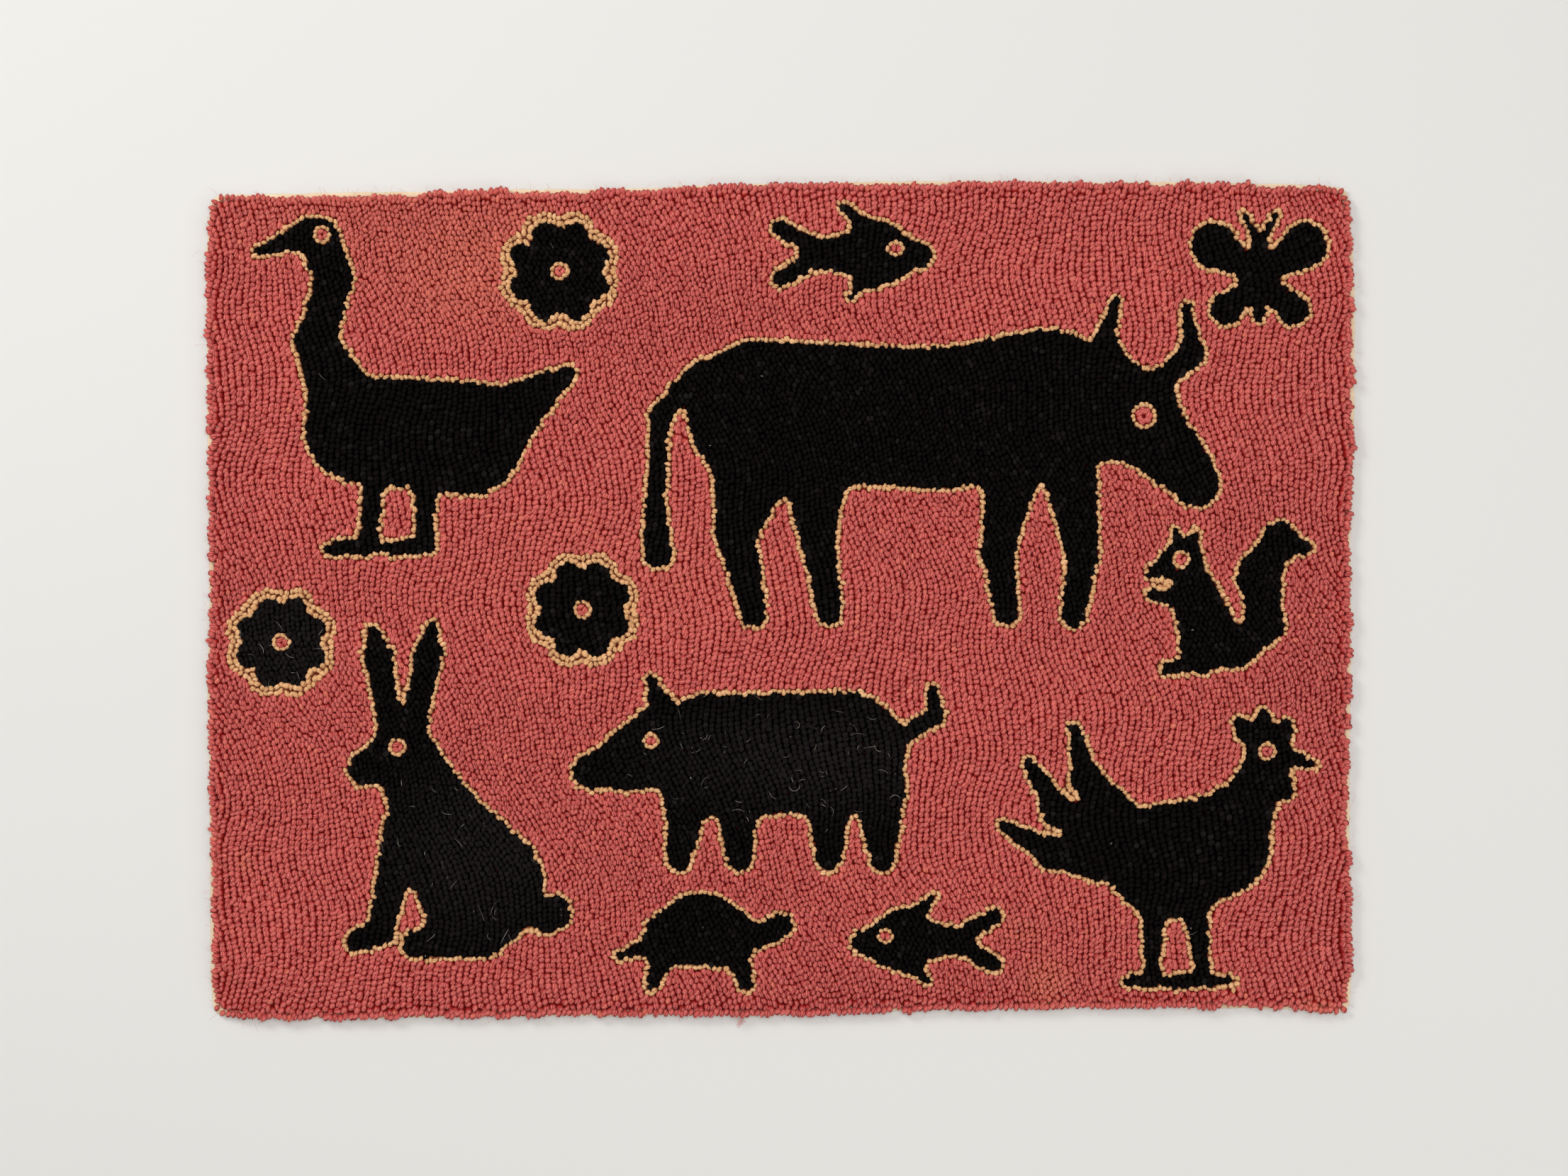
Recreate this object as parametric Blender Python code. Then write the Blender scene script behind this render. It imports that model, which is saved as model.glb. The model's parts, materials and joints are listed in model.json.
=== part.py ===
"""A hooked rug that lies flat on the surface under it.

It is two pieces: a cotton foundation cloth whose edge is turned under all round as a hem, and the
pile of yarn loops that is hooked through the cloth and covers it as a low, slightly uneven slab.
+X runs along the rug's long side, +Y to its back edge and +Z up out of the pile. The origin is the
middle of the rug's outline, on the surface that it lies on.
"""

import math

import bmesh
import bpy

MM = 0.001

# The rectangle that the rug was meant to be, before its edges wandered.
RUG_WIDTH = 912 * MM
RUG_DEPTH = 662 * MM
CORNER_RADIUS = 6 * MM

# The foundation cloth and the hem that is turned under it.
CLOTH_THICKNESS = 1.3 * MM
LAYER_GAP = 0.3 * MM
HEM_WIDTH = 30 * MM
HEM_RAMP = 14 * MM
FOLD_DEPTH = 1.2 * MM
FOLD_ROUND = 0.4 * MM
FOLD_WALL = 1.9 * MM
HEM_CUT_BACK = 1 * MM

# The pile.
PILE_HEIGHT = 6.4 * MM
PILE_GAP = 0.3 * MM
PILE_ROOT_INSET = 2.2 * MM
PILE_BULGE = 0.3 * MM
PILE_SIDE_INSET = 0.7 * MM
PILE_SHOULDER_INSET = 3.2 * MM
PILE_TOP_INSET = 9 * MM
PILE_LUMP = 0.45 * MM
BULGE_SHARE = 0.42
SIDE_SHARE = 0.8

# How finely the outline and the top of the pile are divided.
GRID_PITCH = 20 * MM
CORNER_LINES = (0.0, 2 * MM, CORNER_RADIUS)

# How far each edge lies outside the plain rectangle, in millimetres, at shares of its length.
# Front and back edges are read from left to right, left and right edges from front to back.
EDGE_WANDER = {
    "front": (
        (0.00, 0.4), (0.04, 3.0), (0.10, 3.1), (0.17, 2.3), (0.27, 1.7), (0.34, 0.6), (0.40, 0.0),
        (0.46, 0.8), (0.52, -0.3), (0.58, -2.5), (0.65, -4.2), (0.75, -5.4), (0.84, -6.5),
        (0.90, -5.1), (0.96, -4.2), (1.00, -1.9),
    ),
    "back": (
        (0.00, -7.9), (0.05, -7.0), (0.12, -5.6), (0.18, -5.2), (0.25, -3.4), (0.31, -3.1),
        (0.38, -2.5), (0.44, 0.3), (0.50, 1.4), (0.59, 3.1), (0.69, 3.4), (0.78, 2.5),
        (0.86, 2.8), (0.93, 1.4), (0.97, 0.3), (1.00, -1.7),
    ),
    "left": (
        (0.00, -4.0), (0.02, -2.8), (0.05, -1.7), (0.20, -1.4), (0.32, -0.3), (0.40, 0.8),
        (0.50, -0.6), (0.62, -0.2), (0.73, 1.1), (0.83, 1.4), (0.91, 2.0), (0.96, 0.5),
        (1.00, -2.5),
    ),
    "right": (
        (0.00, -1.6), (0.05, 0.6), (0.12, 0.3), (0.20, -1.2), (0.34, -1.1), (0.42, 0.3),
        (0.50, -0.3), (0.58, -0.6), (0.68, 2.0), (0.74, 2.8), (0.81, 3.1), (0.86, 2.8),
        (0.92, 1.7), (0.96, -0.3), (1.00, -2.8),
    ),
}

# Waves whose sum is how far the loops at the rim bulge past the cloth: how many go round the rug,
# height, phase.
RIM_WAVES = (
    (44, 0.55 * MM, 0.4),
    (73, 0.65 * MM, 2.1),
    (116, 0.50 * MM, 4.0),
)
RIM_MEAN = 0.2 * MM

# Waves whose sum is the unevenness of the pile's top: length across, length along, phase.
LUMP_WAVES = (
    (190 * MM, 240 * MM, 0.7),
    (-118 * MM, 87 * MM, 2.6),
    (67 * MM, -101 * MM, 5.1),
)

YARN_COLOUR = (0.610, 0.105, 0.090, 1.0)
CLOTH_COLOUR = (0.730, 0.580, 0.400, 1.0)


def edge_offset(side, share):
    """How far an edge lies outside the plain rectangle at a share of its length, in metres."""
    rows = EDGE_WANDER[side]
    share = min(max(share, 0.0), 1.0)
    for (start, first), (end, last) in zip(rows, rows[1:]):
        if share <= end:
            along = (share - start) / (end - start)
            eased = along * along * (3 - 2 * along)
            return (first + (last - first) * eased) * MM
    return rows[-1][1] * MM


def uneven(x, y):
    """The place in the real rug of a point of the plain rectangle."""
    across = x / RUG_WIDTH + 0.5
    along = y / RUG_DEPTH + 0.5
    left = -edge_offset("left", along)
    right = edge_offset("right", along)
    front = -edge_offset("front", across)
    back = edge_offset("back", across)
    return x + left + (right - left) * across, y + front + (back - front) * along


def grid_lines(length):
    """Where the grid's lines cross a side of this length, as shares from -1 to 1 of its half."""
    half = length / 2
    steps = round((length - 2 * CORNER_RADIUS) / GRID_PITCH)
    inner = half - CORNER_RADIUS
    between = [-inner + 2 * inner * i / steps for i in range(1, steps)]
    low = [-half + line for line in CORNER_LINES]
    high = [half - line for line in reversed(CORNER_LINES)]
    return [place / half for place in low + between + high]


COLUMNS = grid_lines(RUG_WIDTH)
ROWS = grid_lines(RUG_DEPTH)


def border():
    """The grid's border points in order round the rug, from the front left corner, as shares."""
    front = [(x, -1.0) for x in COLUMNS[:-1]]
    right = [(1.0, y) for y in ROWS[:-1]]
    back = [(x, 1.0) for x in reversed(COLUMNS[1:])]
    left = [(-1.0, y) for y in reversed(ROWS[1:])]
    return front + right + back + left


def halved(points):
    """The same closed line with a point added in the middle of each stretch."""
    found = []
    for (x, y), (next_x, next_y) in zip(points, points[1:] + points[:1]):
        found.append((x, y))
        found.append(((x + next_x) / 2, (y + next_y) / 2))
    return found


def rounded(x, y, half_x, half_y):
    """A point of a rectangle's border, moved onto the arc that rounds its corner if it is in one."""
    centre_x = math.copysign(half_x - CORNER_RADIUS, x)
    centre_y = math.copysign(half_y - CORNER_RADIUS, y)
    if abs(x) <= abs(centre_x) or abs(y) <= abs(centre_y):
        return x, y
    away = math.hypot(x - centre_x, y - centre_y)
    return (
        centre_x + (x - centre_x) * CORNER_RADIUS / away,
        centre_y + (y - centre_y) * CORNER_RADIUS / away,
    )


def rim_bulge(way_round):
    """How far the outermost loops reach past the cloth's edge at a share of the way round the rug."""
    return RIM_MEAN + sum(
        height * math.sin(2 * math.pi * count * way_round + phase)
        for count, height, phase in RIM_WAVES
    )


def lump(x, y):
    """How far the pile's top lies above its mean height at a point."""
    waves = (
        math.sin(2 * math.pi * (x / across + y / along) + phase)
        for across, along, phase in LUMP_WAVES
    )
    return PILE_LUMP * sum(waves) / len(LUMP_WAVES)


def cloth_top(inset):
    """Height of the cloth's upper face, which rises onto the hem near the edge."""
    flat = CLOTH_THICKNESS
    raised = 2 * CLOTH_THICKNESS + LAYER_GAP
    climb = (HEM_WIDTH + HEM_RAMP - inset) / HEM_RAMP
    return flat + (raised - flat) * min(max(climb, 0.0), 1.0)


def add_ring(bm, points, inset, height, bulges=False):
    """A closed line of vertices round the rug, this far in from the cloth's edge or the loops' rim."""
    ring = []
    for i, (share_x, share_y) in enumerate(points):
        near = inset - (rim_bulge(i / len(points)) if bulges else 0.0)
        half_x = RUG_WIDTH / 2 - near
        half_y = RUG_DEPTH / 2 - near
        x, y = rounded(share_x * half_x, share_y * half_y, half_x, half_y)
        ring.append(bm.verts.new((*uneven(x, y), height)))
    return ring


def join_rings(bm, rings):
    """A band of faces between each ring and the next."""
    for inner, outer in zip(rings, rings[1:]):
        count = len(inner)
        for i in range(count):
            after = (i + 1) % count
            bm.faces.new((inner[i], inner[after], outer[after], outer[i]))


def add_pile_top(bm, shoulder):
    """The uneven top of the pile, joined to its shoulder, which has twice as many points."""
    half_x = RUG_WIDTH / 2 - PILE_TOP_INSET
    half_y = RUG_DEPTH / 2 - PILE_TOP_INSET

    def top_vertex(share_x, share_y):
        x, y = rounded(share_x * half_x, share_y * half_y, half_x, half_y)
        inset = min(RUG_WIDTH / 2 - abs(x), RUG_DEPTH / 2 - abs(y))
        height = cloth_top(inset) + PILE_GAP + PILE_HEIGHT + lump(x, y)
        return bm.verts.new((*uneven(x, y), height))

    top = {(x, y): top_vertex(x, y) for x in COLUMNS for y in ROWS}
    for x, next_x in zip(COLUMNS, COLUMNS[1:]):
        for y, next_y in zip(ROWS, ROWS[1:]):
            corners = ((x, y), (next_x, y), (next_x, next_y), (x, next_y))
            bm.faces.new([top[corner] for corner in corners])
    rim = [top[point] for point in border()]
    for i, vertex in enumerate(rim):
        after = rim[(i + 1) % len(rim)]
        start, middle, end = (shoulder[(2 * i + step) % len(shoulder)] for step in range(3))
        bm.faces.new((start, middle, vertex))
        bm.faces.new((middle, after, vertex))
        bm.faces.new((middle, end, after))


def finish(bm, name, colour, roughness):
    """An object of this name from the mesh, in its own cloth or yarn material."""
    bmesh.ops.recalc_face_normals(bm, faces=bm.faces)
    mesh = bpy.data.meshes.new(name)
    bm.to_mesh(mesh)
    bm.free()
    mesh.shade_smooth()
    mesh.set_sharp_from_angle(angle=math.radians(50))
    material = bpy.data.materials.new(name)
    material.use_nodes = True
    shader = material.node_tree.nodes["Principled BSDF"]
    shader.inputs["Base Color"].default_value = colour
    shader.inputs["Roughness"].default_value = roughness
    shader.inputs["Metallic"].default_value = 0.0
    mesh.materials.append(material)
    made = bpy.data.objects.new(name, mesh)
    bpy.context.scene.collection.objects.link(made)
    return made


def make_foundation():
    """The cloth: one sheet that folds under itself at the edge, with the hem lying a little apart."""
    bm = bmesh.new()
    sheet_under = CLOTH_THICKNESS + LAYER_GAP
    sheet_top = sheet_under + CLOTH_THICKNESS
    hem_end = HEM_WIDTH - HEM_CUT_BACK
    flat_from = HEM_WIDTH + HEM_RAMP
    section = (
        (flat_from, CLOTH_THICKNESS),
        (HEM_WIDTH, sheet_top),
        (FOLD_DEPTH, sheet_top),
        (FOLD_ROUND, sheet_top - FOLD_ROUND),
        (0.0, sheet_top / 2),
        (FOLD_ROUND, FOLD_ROUND),
        (FOLD_DEPTH, 0.0),
        (hem_end, 0.0),
        (hem_end, CLOTH_THICKNESS),
        (FOLD_WALL, CLOTH_THICKNESS),
        (FOLD_WALL, sheet_under),
        (HEM_WIDTH, sheet_under),
        (flat_from, 0.0),
    )
    rings = [add_ring(bm, border(), inset, height) for inset, height in section]
    join_rings(bm, rings)
    bm.faces.new(rings[0])
    bm.faces.new(rings[-1])
    return finish(bm, "foundation", CLOTH_COLOUR, roughness=0.9)


def make_pile():
    """The hooked loops as one slab, whose side bulges over the cloth's edge and top is uneven."""
    bm = bmesh.new()
    points = halved(border())
    edge_root = cloth_top(0.0) + PILE_GAP
    middle_root = CLOTH_THICKNESS + PILE_GAP
    flat_from = HEM_WIDTH + HEM_RAMP
    rings = [
        add_ring(bm, points, flat_from, middle_root),
        add_ring(bm, points, HEM_WIDTH, edge_root),
        add_ring(bm, points, PILE_ROOT_INSET, edge_root, bulges=True),
        add_ring(bm, points, -PILE_BULGE, edge_root + BULGE_SHARE * PILE_HEIGHT, bulges=True),
        add_ring(bm, points, PILE_SIDE_INSET, edge_root + SIDE_SHARE * PILE_HEIGHT, bulges=True),
        add_ring(bm, points, PILE_SHOULDER_INSET, edge_root + PILE_HEIGHT, bulges=True),
    ]
    join_rings(bm, rings)
    bm.faces.new(rings[0])
    add_pile_top(bm, rings[-1])
    return finish(bm, "pile", YARN_COLOUR, roughness=0.95)


def centre_on_origin(pieces):
    """Moves the pieces together so that the middle of their outline is over the origin."""
    for axis in (0, 1):
        places = [vertex.co[axis] for piece in pieces for vertex in piece.data.vertices]
        middle = (min(places) + max(places)) / 2
        for piece in pieces:
            for vertex in piece.data.vertices:
                vertex.co[axis] -= middle


def main():
    for old in list(bpy.data.objects):
        bpy.data.objects.remove(old)
    centre_on_origin([make_foundation(), make_pile()])


main()
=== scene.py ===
"""The looks of a hooked rug that lies flat: its cotton foundation cloth with a hem turned under, the
thousands of plied yarn loops that are hooked through it, their flat stitches on its back, and the
stray fibres of a worn rug. The pile shows black figures, each outlined in gold, on a coral ground.
"""

import functools
import json
import math
from collections import namedtuple

import bpy
import numpy as np
from bpy.props import FloatProperty, FloatVectorProperty, IntProperty, PointerProperty
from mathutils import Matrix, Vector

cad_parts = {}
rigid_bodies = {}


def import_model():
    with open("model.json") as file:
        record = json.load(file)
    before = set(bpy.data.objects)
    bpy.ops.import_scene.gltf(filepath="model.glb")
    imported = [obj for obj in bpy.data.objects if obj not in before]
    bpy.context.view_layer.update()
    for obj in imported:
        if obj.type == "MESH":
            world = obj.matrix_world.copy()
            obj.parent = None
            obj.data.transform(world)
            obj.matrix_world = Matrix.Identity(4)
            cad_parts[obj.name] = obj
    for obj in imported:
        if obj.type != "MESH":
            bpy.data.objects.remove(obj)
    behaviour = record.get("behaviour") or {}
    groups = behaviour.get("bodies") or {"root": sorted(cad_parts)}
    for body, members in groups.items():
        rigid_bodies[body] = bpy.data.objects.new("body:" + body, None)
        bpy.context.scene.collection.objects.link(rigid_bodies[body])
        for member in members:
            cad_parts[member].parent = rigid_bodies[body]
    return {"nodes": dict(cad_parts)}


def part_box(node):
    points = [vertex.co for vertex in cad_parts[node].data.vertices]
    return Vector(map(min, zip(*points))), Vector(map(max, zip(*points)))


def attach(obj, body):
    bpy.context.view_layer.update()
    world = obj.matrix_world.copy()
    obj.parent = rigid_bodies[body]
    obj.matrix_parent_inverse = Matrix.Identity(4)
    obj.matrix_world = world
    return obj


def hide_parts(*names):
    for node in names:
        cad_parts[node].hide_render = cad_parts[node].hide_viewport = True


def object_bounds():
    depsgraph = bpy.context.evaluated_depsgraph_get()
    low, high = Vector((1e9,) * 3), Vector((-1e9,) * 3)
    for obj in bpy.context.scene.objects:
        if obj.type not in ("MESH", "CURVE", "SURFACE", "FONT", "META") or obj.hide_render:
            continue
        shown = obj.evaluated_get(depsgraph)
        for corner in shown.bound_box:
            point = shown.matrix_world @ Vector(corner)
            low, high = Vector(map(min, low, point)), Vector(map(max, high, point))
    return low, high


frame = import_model()
CAD_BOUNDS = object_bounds()

bl_info = {
    "name": "Hooked rug",
    "version": (1, 0, 0),
    "blender": (4, 5, 0),
    "location": "3D View > Sidebar > Rug",
    "description": "Builds the cloth, yarn loops and stray fibres of a hooked rug",
    "category": "Object",
}

MM = 0.001
BAKE_MAP = "OFBake"
YARN_MAP = "yarn"

# The CAD cloth, whose fold line and heights the pieces here follow.
CLOTH_LOW, CLOTH_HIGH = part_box("foundation")
HALF_WIDTH = (CLOTH_HIGH.x - CLOTH_LOW.x) / 2
HALF_DEPTH = (CLOTH_HIGH.y - CLOTH_LOW.y) / 2
HEM_TOP = CLOTH_HIGH.z
FOLD_HEIGHT = HEM_TOP / 2
HEM_WIDTH = 30 * MM
HEM_RAMP = 14 * MM

# How high the cloth's upper face is in the middle of the rug.
MIDDLE_TOP = 1.3 * MM

# The grid on which the design's distances are worked out.
GRID_STEP = 1.5 * MM
GRID_MARGIN = 18 * MM

# Dyes, as numbers that say which yarn a loop is made of.
CORAL, BLACK, GOLD = 0, 1, 2

LOOP_TYPE = np.dtype(
    [
        ("place", float, 2),
        ("heading", float),
        ("length", float),
        ("width", float),
        ("height", float),
        ("lean", float, 2),
        ("tone", float),
        ("dye", int),
        ("rim", bool),
    ]
)

# A stroke is a round-ended stripe that may taper: where it starts and how wide it is there on either
# side of its middle, then the same for its end. All in millimetres in the figure's own frame.
Stroke = namedtuple("Stroke", "x y half to_x to_y to_half")


def strokes(*rows):
    """A figure's strokes, from a row of six numbers for each."""
    return tuple(Stroke(*row) for row in rows)


OX = strokes(
    (-95, 14, 54, -20, 4, 50), (-20, 4, 50, 108, 8, 52), (-105, 18, 46, -158, 6, 34),
    (-160, 4, 32, -190, -26, 21), (-190, -26, 21, -203, -42, 18), (-176, 28, 10, -200, 50, 9),
    (-200, 50, 9, -196, 84, 4), (-156, 32, 10, -138, 56, 9), (-138, 56, 9, -146, 88, 4),
    (-136, 32, 9, -116, 38, 6), (-112, -30, 22, -122, -92, 12), (-122, -92, 12, -116, -136, 10),
    (-72, -30, 22, -62, -92, 12), (-62, -92, 12, -68, -134, 10), (108, -10, 38, 124, -78, 15),
    (124, -78, 15, 112, -136, 10), (70, -24, 28, 66, -84, 13), (66, -84, 13, 58, -134, 10),
    (150, 38, 9, 178, 6, 8), (178, 6, 8, 182, -60, 7), (182, -60, 8, 180, -92, 12),
)

GOOSE = strokes(
    (-40, -20, 40, 36, -14, 37), (-66, -6, 24, -108, 24, 7), (44, 0, 26, 64, 46, 15),
    (64, 46, 15, 52, 90, 13), (52, 90, 13, 62, 118, 15), (70, 120, 11, 104, 108, 4),
    (-12, -50, 9, -10, -92, 7), (-12, -94, 7, 14, -96, 6), (24, -46, 9, 28, -92, 7),
    (28, -94, 7, 54, -96, 6),
)

HARE = strokes(
    (22, -22, 42, -8, 22, 29), (-8, 26, 26, -26, 62, 20), (-30, 60, 19, -50, 52, 12),
    (-20, 76, 9, -10, 126, 9), (-10, 126, 9, -8, 142, 5), (-34, 76, 9, -42, 124, 9),
    (-42, 124, 9, -46, 140, 5), (-28, 8, 13, -40, -50, 9), (-40, -52, 9, -56, -58, 8),
    (24, -54, 15, -18, -60, 10), (66, -42, 12, 70, -40, 12),
)

ROOSTER = strokes(
    (22, -2, 42, -14, 10, 37), (-24, 22, 27, -46, 62, 15), (-46, 66, 15, -48, 74, 15),
    (-60, 73, 8, -82, 66, 3), (-60, 90, 8, -61, 94, 6), (-46, 92, 8, -45, 101, 6),
    (-34, 88, 8, -29, 96, 6), (-60, 54, 7, -61, 48, 7), (46, 14, 20, 80, 56, 11),
    (80, 56, 11, 88, 92, 5), (50, 6, 18, 100, 34, 11), (100, 34, 11, 120, 68, 5),
    (50, -6, 16, 104, 4, 11), (104, 4, 11, 138, 24, 5), (2, -38, 9, -2, -82, 6),
    (-22, -86, 5, 12, -86, 5), (32, -36, 9, 34, -82, 6), (14, -86, 5, 50, -86, 5),
)

PIG = strokes(
    (-36, 0, 35, 40, 2, 34), (-64, 4, 25, -80, -2, 19), (-86, -6, 14, -104, -9, 11),
    (-62, 24, 9, -70, 42, 4), (-50, -24, 13, -54, -58, 8), (-22, -24, 13, -20, -58, 8),
    (30, -24, 14, 30, -58, 8), (58, -18, 16, 60, -58, 8), (74, 12, 6, 90, 22, 5),
    (90, 22, 5, 88, 36, 4),
)

SQUIRREL = strokes(
    (10, -28, 33, -4, 18, 23), (-14, 48, 20, -20, 48, 19), (-26, 45, 14, -46, 38, 8),
    (-8, 64, 7, -4, 80, 4), (-22, 64, 7, -24, 80, 4), (-18, 10, 10, -48, 16, 7),
    (2, -54, 11, -32, -58, 8), (38, -46, 15, 66, -14, 19), (66, -14, 19, 60, 34, 22),
    (60, 34, 22, 80, 70, 17), (80, 70, 17, 104, 62, 9),
)

TORTOISE = strokes(
    (-24, 2, 26, 24, 2, 26), (-8, 16, 24, 8, 16, 24), (48, 2, 11, 70, 12, 12),
    (-34, -18, 10, -42, -38, 8), (32, -18, 10, 40, -38, 8), (-48, -6, 8, -72, -16, 4),
)

FISH = strokes(
    (-24, 0, 14, 12, 0, 26), (12, 0, 26, 44, -2, 12), (-30, 0, 9, -66, 20, 8),
    (-30, 0, 9, -66, -20, 8), (2, 20, 9, -16, 38, 4), (4, -20, 8, -10, -34, 4),
)

BUTTERFLY = strokes(
    (-8, 6, 9, -38, 28, 21), (8, 6, 9, 38, 28, 21), (-8, -6, 8, -28, -26, 15),
    (8, -6, 8, 28, -26, 15), (0, 26, 7, 0, -32, 6), (0, 28, 5, -14, 54, 4),
    (0, 28, 5, 14, 54, 4),
)

PETALS = 8
PETAL_LENGTH = 30
PETAL_TURNS = [2 * math.pi * (petal + 0.5) / PETALS for petal in range(PETALS)]
ROSETTE = strokes(*(
    (0, 0, 12, PETAL_LENGTH * math.cos(turn), PETAL_LENGTH * math.sin(turn), 11.5)
    for turn in PETAL_TURNS
))

# A figure's place in millimetres and its size on the rug, whether it is mirrored, how many rows of
# gold loops go round it, and the place and radius of its eye.
Figure = namedtuple("Figure", "x y scale mirror gold_rows eye strokes")
FIGURES = {
    "goose": Figure(-296, 152, 1.16, True, 1, (60, 120, 6), GOOSE),
    "ox": Figure(104, 140, 1.12, True, 1, (-166, 6, 9), OX),
    "hare": Figure(-268, -200, 1.25, False, 1, (-30, 66, 6), HARE),
    "pig": Figure(-4, -124, 1.42, False, 1, (-70, 8, 5), PIG),
    "rooster": Figure(334, -207, 1.13, True, 1, (-48, 76, 6), ROOSTER),
    "squirrel": Figure(334, -8, 0.8, False, 1, (-18, 50, 6), SQUIRREL),
    "tortoise": Figure(-64, -271, 0.92, False, 1, None, TORTOISE),
    "fish": Figure(108, -272, 0.94, True, 1, (26, 4, 5), FISH),
    "butterfly": Figure(382, 256, 0.94, False, 1, None, BUTTERFLY),
    "back_fish": Figure(66, 276, 1.0, False, 1, (26, 4, 5), FISH),
    "back_rosette": Figure(-176, 262, 1.05, False, 2, (0, 0, 6), ROSETTE),
    "middle_rosette": Figure(-158, -8, 1.0, False, 2, (0, 0, 6), ROSETTE),
    "left_rosette": Figure(-398, -34, 0.95, False, 2, (0, 0, 6), ROSETTE),
}

# How far from each other two strokes of a figure begin to flow together.
STROKE_BLEND = 7 * MM

# Where the loops at the rim are worn back and the cloth shows: from where to where along each edge,
# from the rug's middle, and how far back, then the length over which a stretch eases in at its ends,
# all in millimetres.
BARE_STRETCHES = {
    "back": (
        (-413, -284, 2.6), (-216, -152, 2.4), (-122, -78, 1.5), (44, 136, 1.7), (292, 316, 2.0),
        (378, 418, 2.0),
    ),
    "right": (
        (240, 280, 1.6), (192, 228, 2.6), (142, 172, 2.4), (165, 169, 5.4), (143, 148, 5.4),
        (26, 52, 1.4), (-58, -48, 2.4), (-92, -84, 3.0), (-110, -102, 3.8), (-200, -141, 2.4),
        (-330, -300, 2.6),
    ),
    "front": (
        (-306, -270, 1.6), (-214, -204, 1.6), (-182, -146, 1.6), (86, 94, 1.6), (346, 408, 2.0),
    ),
    "left": ((124, 133, 3.0), (22, 30, 3.4), (-8, 2, 2.6), (-330, -190, 1.4)),
}
BARE_EASE = 6

# How far the tips of the outermost loops reach past the cloth's fold on each edge.
RIM_REACH = {"front": 1.3 * MM, "back": 0.3 * MM, "left": 0.2 * MM, "right": 0.4 * MM}

# Patches where the pile is worn low: middle, half sizes, share of the height that is lost.
Worn = namedtuple("Worn", "x y half_x half_y loss")
WORN_PATCHES = (
    Worn(-425, 322, 36, 9, 0.55),
    Worn(436, 322, 26, 9, 0.45),
    Worn(-446, -318, 22, 14, 0.5),
    Worn(452, -318, 12, 16, 0.4),
)

# Where the black yarn has worn thin and grey.
WORN_FIGURES = (
    Worn(20, -128, 130, 44, 0.12),
    Worn(-240, -200, 80, 70, 0.1),
    Worn(-398, -34, 50, 50, 0.08),
)


def smooth_step(share):
    """0 below 0, 1 above 1 and an eased climb between."""
    share = np.clip(share, 0.0, 1.0)
    return share * share * (3 - 2 * share)


def waves(x, y, rows):
    """A sum of waves over the rug, from rows of length across, length along, height and phase."""
    return sum(
        height * np.sin(2 * math.pi * (x / across + y / along) + phase)
        for across, along, height, phase in rows
    )


def ripples(way, rows):
    """A sum of waves round the rug, from rows of how many there are, height and phase."""
    return sum(height * np.sin(count * way + phase) for count, height, phase in rows)


def grid_spots(xs, ys):
    """The places of a grid, row by row."""
    return np.stack([axis.ravel() for axis in np.meshgrid(xs, ys)], axis=1)


def fold_line():
    """The cloth's outline, in order round the rug, read from the CAD cloth's widest points."""
    mesh = frame["nodes"]["foundation"].data
    points = np.zeros(len(mesh.vertices) * 3)
    mesh.vertices.foreach_get("co", points)
    points = points.reshape(-1, 3)
    points = points[abs(points[:, 2] - FOLD_HEIGHT) < 0.05 * MM, :2]
    points = np.unique(points.round(6), axis=0)
    turn = np.arctan2(points[:, 1] / HALF_DEPTH, points[:, 0] / HALF_WIDTH)
    return points[np.argsort(turn)]


def even_line(line, step):
    """Points this far apart along a closed line, and the direction of the line at each."""
    closed = np.vstack([line, line[:1]])
    along = np.concatenate([[0.0], np.cumsum(np.linalg.norm(np.diff(closed, axis=0), axis=1))])
    count = max(3, round(along[-1] / step))
    at = np.arange(count) * along[-1] / count
    points = np.stack([np.interp(at, along, closed[:, axis]) for axis in (0, 1)], axis=1)
    ahead = np.roll(points, -1, axis=0) - np.roll(points, 1, axis=0)
    return points, ahead / np.linalg.norm(ahead, axis=1)[:, None]


def inset_line(line, inset):
    """The closed line again, drawn in towards the rug's middle by this much on every side."""
    return line * (1 - inset / np.array([HALF_WIDTH, HALF_DEPTH]))


def outward_of(ahead):
    """The outward directions of a line that runs anticlockwise round the rug."""
    return np.stack([ahead[:, 1], -ahead[:, 0]], axis=1)


def inset_of(points, line):
    """How far in from the rug's outline each point lies, and the outward direction there."""
    start, end = line, np.roll(line, -1, axis=0)
    run = end - start
    best = np.full(len(points), np.inf)
    outward = np.zeros((len(points), 2))
    for a, step in zip(start, run):
        share = np.clip(((points - a) @ step) / (step @ step), 0, 1)
        away = np.linalg.norm(points - a - share[:, None] * step, axis=1)
        nearer = away < best
        best[nearer] = away[nearer]
        outward[nearer] = np.array([step[1], -step[0]]) / np.linalg.norm(step)
    return best, outward


def cloth_top(inset):
    """Height of the cloth's upper face, which rises onto the hem near the edge."""
    climb = np.clip((HEM_WIDTH + HEM_RAMP - inset) / HEM_RAMP, 0, 1)
    return MIDDLE_TOP + (HEM_TOP - MIDDLE_TOP) * climb


# The design


def stroke_distance(x, y, stroke):
    """Distance of points from a stroke's edge, negative inside it."""
    start = np.array([stroke.x, stroke.y])
    run = np.array([stroke.to_x, stroke.to_y]) - start
    share = ((x - start[0]) * run[0] + (y - start[1]) * run[1]) / max(run @ run, 1e-9)
    share = np.clip(share, 0, 1)
    half = stroke.half + share * (stroke.to_half - stroke.half)
    return np.hypot(x - start[0] - share * run[0], y - start[1] - share * run[1]) - half


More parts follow.
